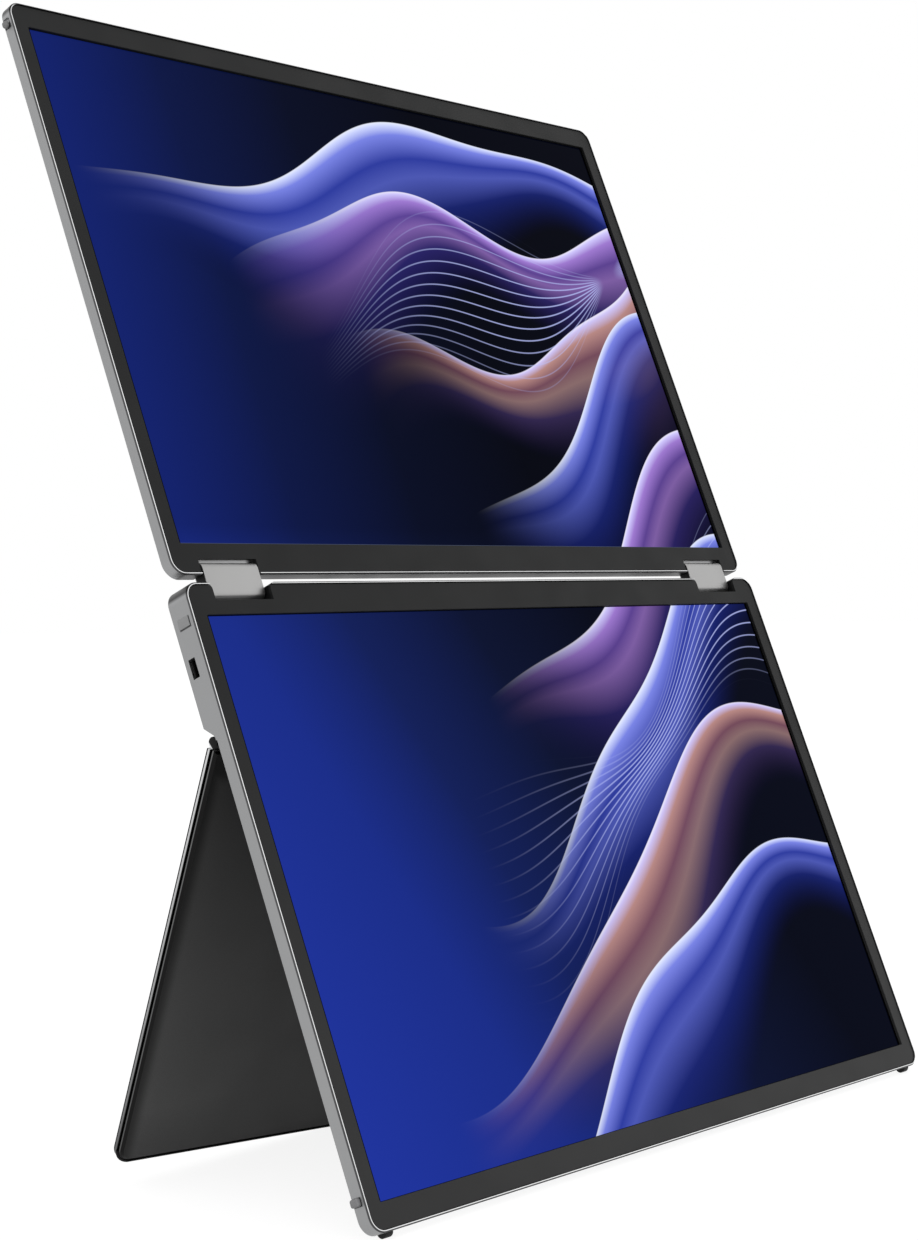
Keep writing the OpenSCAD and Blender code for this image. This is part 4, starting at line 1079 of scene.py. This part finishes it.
# %% Path of the bead
CORNER_R = 5.0
BEAD_H = 1.0
BEAD_R = 2.0
BEAD_SUNK = 0.2
STAND_HALF = 158.2
KNEE = 53.4
SLANT = math.radians(4.06)
FREE_EDGE = -155.7
TURN_STEPS = 7
START_ANGLE = math.radians(192)
END_ANGLE = math.radians(270) - SLANT
START_SIZE = 0.45

corner_x = -(STAND_HALF - CORNER_R)
corner_y = FREE_EDGE + (-corner_x - KNEE) * math.tan(SLANT) + CORNER_R / math.cos(SLANT)
corner_middle = Vector((corner_x, corner_y, 0))


def on_corner(angle):
    """The point of the corner's arc at an angle."""
    return corner_middle + CORNER_R * Vector((math.cos(angle), math.sin(angle), 0))


def turn_about(middle, angle):
    """Turns what is selected anticlockwise; without a window the operator turns the other way."""
    bpy.ops.transform.rotate(value=-angle, orient_axis="Z", center_override=middle)


print("corner of the stand at", [round(v, 2) for v in corner_middle])

# %% [markdown]
# ## Section of the bead
#
# The section starts as a filled circle that stands across the edge. A cut leaves the arc that lies
# outside the edge and a little that is sunk into it. It is then made small, turned to the corner's
# direction and moved to where the bead begins.

# %% Section
bpy.ops.object.select_all(action="DESELECT")
bpy.ops.mesh.primitive_circle_add(vertices=48, radius=BEAD_R, fill_type="NGON", rotation=(math.pi / 2, 0, 0))
bpy.ops.object.transform_apply(location=False, rotation=True, scale=False)
bead = bpy.context.object
bead.name = "stand_edge_bead"
bpy.ops.object.mode_set(mode="EDIT")
bpy.ops.mesh.select_all(action="SELECT")
bpy.ops.transform.translate(value=(BEAD_R - BEAD_H, 0, 0))
bpy.ops.mesh.bisect(plane_co=(BEAD_SUNK, 0, 0), plane_no=(1, 0, 0), clear_outer=True, use_fill=True)
bpy.ops.mesh.select_all(action="SELECT")
bpy.ops.transform.resize(value=(START_SIZE, START_SIZE, START_SIZE), center_override=(0, 0, 0))
turn_about((0, 0, 0), START_ANGLE - math.pi)
bpy.ops.transform.translate(value=on_corner(START_ANGLE))
print("section starts at", [round(v, 2) for v in on_corner(START_ANGLE)])

# %% [markdown]
# ## Run the bead along the edge
#
# Round the corner each step extrudes the section, turns it about the corner's middle and enlarges
# it about its own foot, so that the last step has the full size. Two straight runs follow: down the
# slant to the knee, and on to the middle of the stand. Half the slant's turn at each keeps the
# section square to the bend. The last face is deleted, because the mirror joins on there.

# %% Corner and straight runs
step = (END_ANGLE - START_ANGLE) / TURN_STEPS
growth = START_SIZE ** (-1 / TURN_STEPS)
for turn in range(TURN_STEPS):
    bpy.ops.mesh.extrude_region_move()
    turn_about(corner_middle, step)
    foot_of_section = on_corner(START_ANGLE + (turn + 1) * step)
    bpy.ops.transform.resize(value=(growth, growth, growth), center_override=foot_of_section)
start = on_corner(END_ANGLE)
for target in (Vector((-KNEE, FREE_EDGE, 0)), Vector((0, FREE_EDGE, 0))):
    bpy.ops.mesh.extrude_region_move(TRANSFORM_OT_translate={"value": target - start})
    turn_about(target, SLANT / 2)
    start = target
bpy.ops.mesh.delete(type="ONLY_FACE")
bpy.ops.object.mode_set(mode="OBJECT")
print("half of the bead", len(bead.data.polygons), "faces")

# %% [markdown]
# ## Mirror and place the bead
#
# The mirror makes the other half and welds the two at the middle. A merge and a recalculation of
# the normals leave one closed shell, which then goes to the stand's frame.

# %% Place the bead
WELD = 0.01
mirror = bead.modifiers.new("mirror", "MIRROR")
mirror.use_clip = True
mirror.merge_threshold = WELD
bpy.ops.object.modifier_apply(modifier=mirror.name)
bpy.ops.object.mode_set(mode="EDIT")
bpy.ops.mesh.select_all(action="SELECT")
bpy.ops.mesh.remove_doubles(threshold=WELD)
bpy.ops.mesh.normals_make_consistent(inside=False)
bpy.ops.object.mode_set(mode="OBJECT")
place_mesh(bead, STAND)
bpy.ops.object.shade_smooth_by_angle(angle=math.radians(40))
bead.data.materials.append(black_rubber)
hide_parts("stand_foot_strip")
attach(bead, "stand")
bead_z = [v.co.z for v in bead.data.vertices]
print("bead", len(bead.data.polygons), "faces, lowest", round(min(bead_z), 5))

# %% [markdown]
# ## Dress the solids
#
# Each remaining solid gets the finish of its material slot. Two nodes differ from their slot: the
# upper cover, because its rim lies at another depth, and the lock insert, which gets the near black
# of the link cores as painted shade, so it reads as a hole.

# %% Assign finishes
SLOT_FINISH = {
    "cover_metal": lower_metal, "bezel_black": bezel_black, "screen_glass": glass,
    "backlight_steel": sheet_steel, "board_green": board_green, "ribbon": film,
    "grey_rubber": grey_rubber, "black_rubber": black_rubber, "hinge_steel": coated_steel_and_shade,
    "bright_steel": turned_steel, "link_metal": link_metal, "core_black": core_black,
    "liner_black": lining_black, "switch_black": switch_black,
}
# The lock insert is painted near black as the shade of a hole.
NODE_FINISH = {"upper_back_cover": upper_metal, "lock_insert": core_black}
for part in record["subparts"]:
    chosen = NODE_FINISH.get(part["node"], SLOT_FINISH[part["material_slot"]])
    for slot in nodes[part["node"]].material_slots:
        slot.material = chosen
print("dressed", len(record["subparts"]), "solids")

# %% [markdown]
# ## World
#
# The world is a soft grey light for surfaces, and plain white for what the camera, metal and glass
# see. A Light Path node tells the two kinds of ray apart, so the white costs the object no colour.

# %% World
def seen_directly(tree):
    """1 for camera, glossy and transmission rays, and 0 for the light that surfaces gather."""
    rays = add(tree, "ShaderNodeLightPath").outputs
    seen = maths(tree, "MAXIMUM", rays["Is Camera Ray"], rays["Is Glossy Ray"])
    return maths(tree, "MAXIMUM", seen, rays["Is Transmission Ray"])


AMBIENT = 0.75
world = bpy.data.worlds.new("studio")
bpy.context.scene.world = world
world.use_nodes = True
backdrop = world.node_tree.nodes["Background"]
backdrop.inputs["Color"].default_value = grey(1)
strength = spread(world.node_tree, seen_directly(world.node_tree), 0, 1, AMBIENT, 1.0)
world.node_tree.links.new(strength, backdrop.inputs["Strength"])
print("world light", AMBIENT)

# %% [markdown]
# ## Floor
#
# The set is a plain pale floor. For the rays that see it directly it adds a little glow to a faint
# matte, so it meets the white without a line and still keeps the object's shadow.

# %% Floor
FLOOR_SIZE = 24
FLOOR_TONE = 0.8
FLOOR_FAINT = 0.26
FLOOR_GLOW = 0.86
bpy.ops.object.select_all(action="DESELECT")
bpy.ops.mesh.primitive_plane_add(size=FLOOR_SIZE, location=(0, 0, 0))
floor = bpy.context.object
floor.name = "floor"
floor_material = bpy.data.materials.new("pale_floor")
floor_material.use_nodes = True
floor_tree = floor_material.node_tree
floor_tree.nodes.clear()
matte = add(floor_tree, "ShaderNodeBsdfDiffuse", None, {"Color": grey(FLOOR_TONE)}).outputs[0]
faint = add(floor_tree, "ShaderNodeBsdfDiffuse", None, {"Color": grey(FLOOR_FAINT)}).outputs[0]
glow = add(floor_tree, "ShaderNodeEmission", None, {"Strength": FLOOR_GLOW}).outputs[0]
bright = add(floor_tree, "ShaderNodeAddShader", None, {0: faint, 1: glow}).outputs[0]
mix_inputs = {0: seen_directly(floor_tree), 1: matte, 2: bright}
floor_mix = add(floor_tree, "ShaderNodeMixShader", None, mix_inputs)
add(floor_tree, "ShaderNodeOutputMaterial", None, {"Surface": floor_mix.outputs[0]})
floor.data.materials.append(floor_material)
print("floor", FLOOR_SIZE, "m wide")

# %% [markdown]
# ## Lamps
#
# Three wide soft lamps light the object evenly: a key at the upper left, a weaker fill at the right
# and one behind for the back and the stand. Standard view keeps the colours about as written.

# %% Lamps
CENTRE = (0, 0, 0.2)
LAMPS = (
    ("key", (-1.6, -1.4, 2.0), 2.6, 11),
    ("fill", (2.0, -1.5, 1.2), 2.4, 5),
    ("back", (-0.4, 2.2, 1.6), 2.4, 7),
)


def soft_lamp(name, place, size, watts):
    """A square soft lamp at place that faces the object."""
    data = bpy.data.lights.new(name, "AREA")
    data.size = size
    data.energy = watts
    lamp = bpy.data.objects.new(name, data)
    lamp.location = place
    lamp.rotation_euler = (Vector(CENTRE) - Vector(place)).to_track_quat("-Z", "Y").to_euler()
    bpy.context.scene.collection.objects.link(lamp)


for lamp_row in LAMPS:
    soft_lamp(*lamp_row)
bpy.context.scene.view_settings.view_transform = "Standard"
print("lamps:", len(LAMPS))
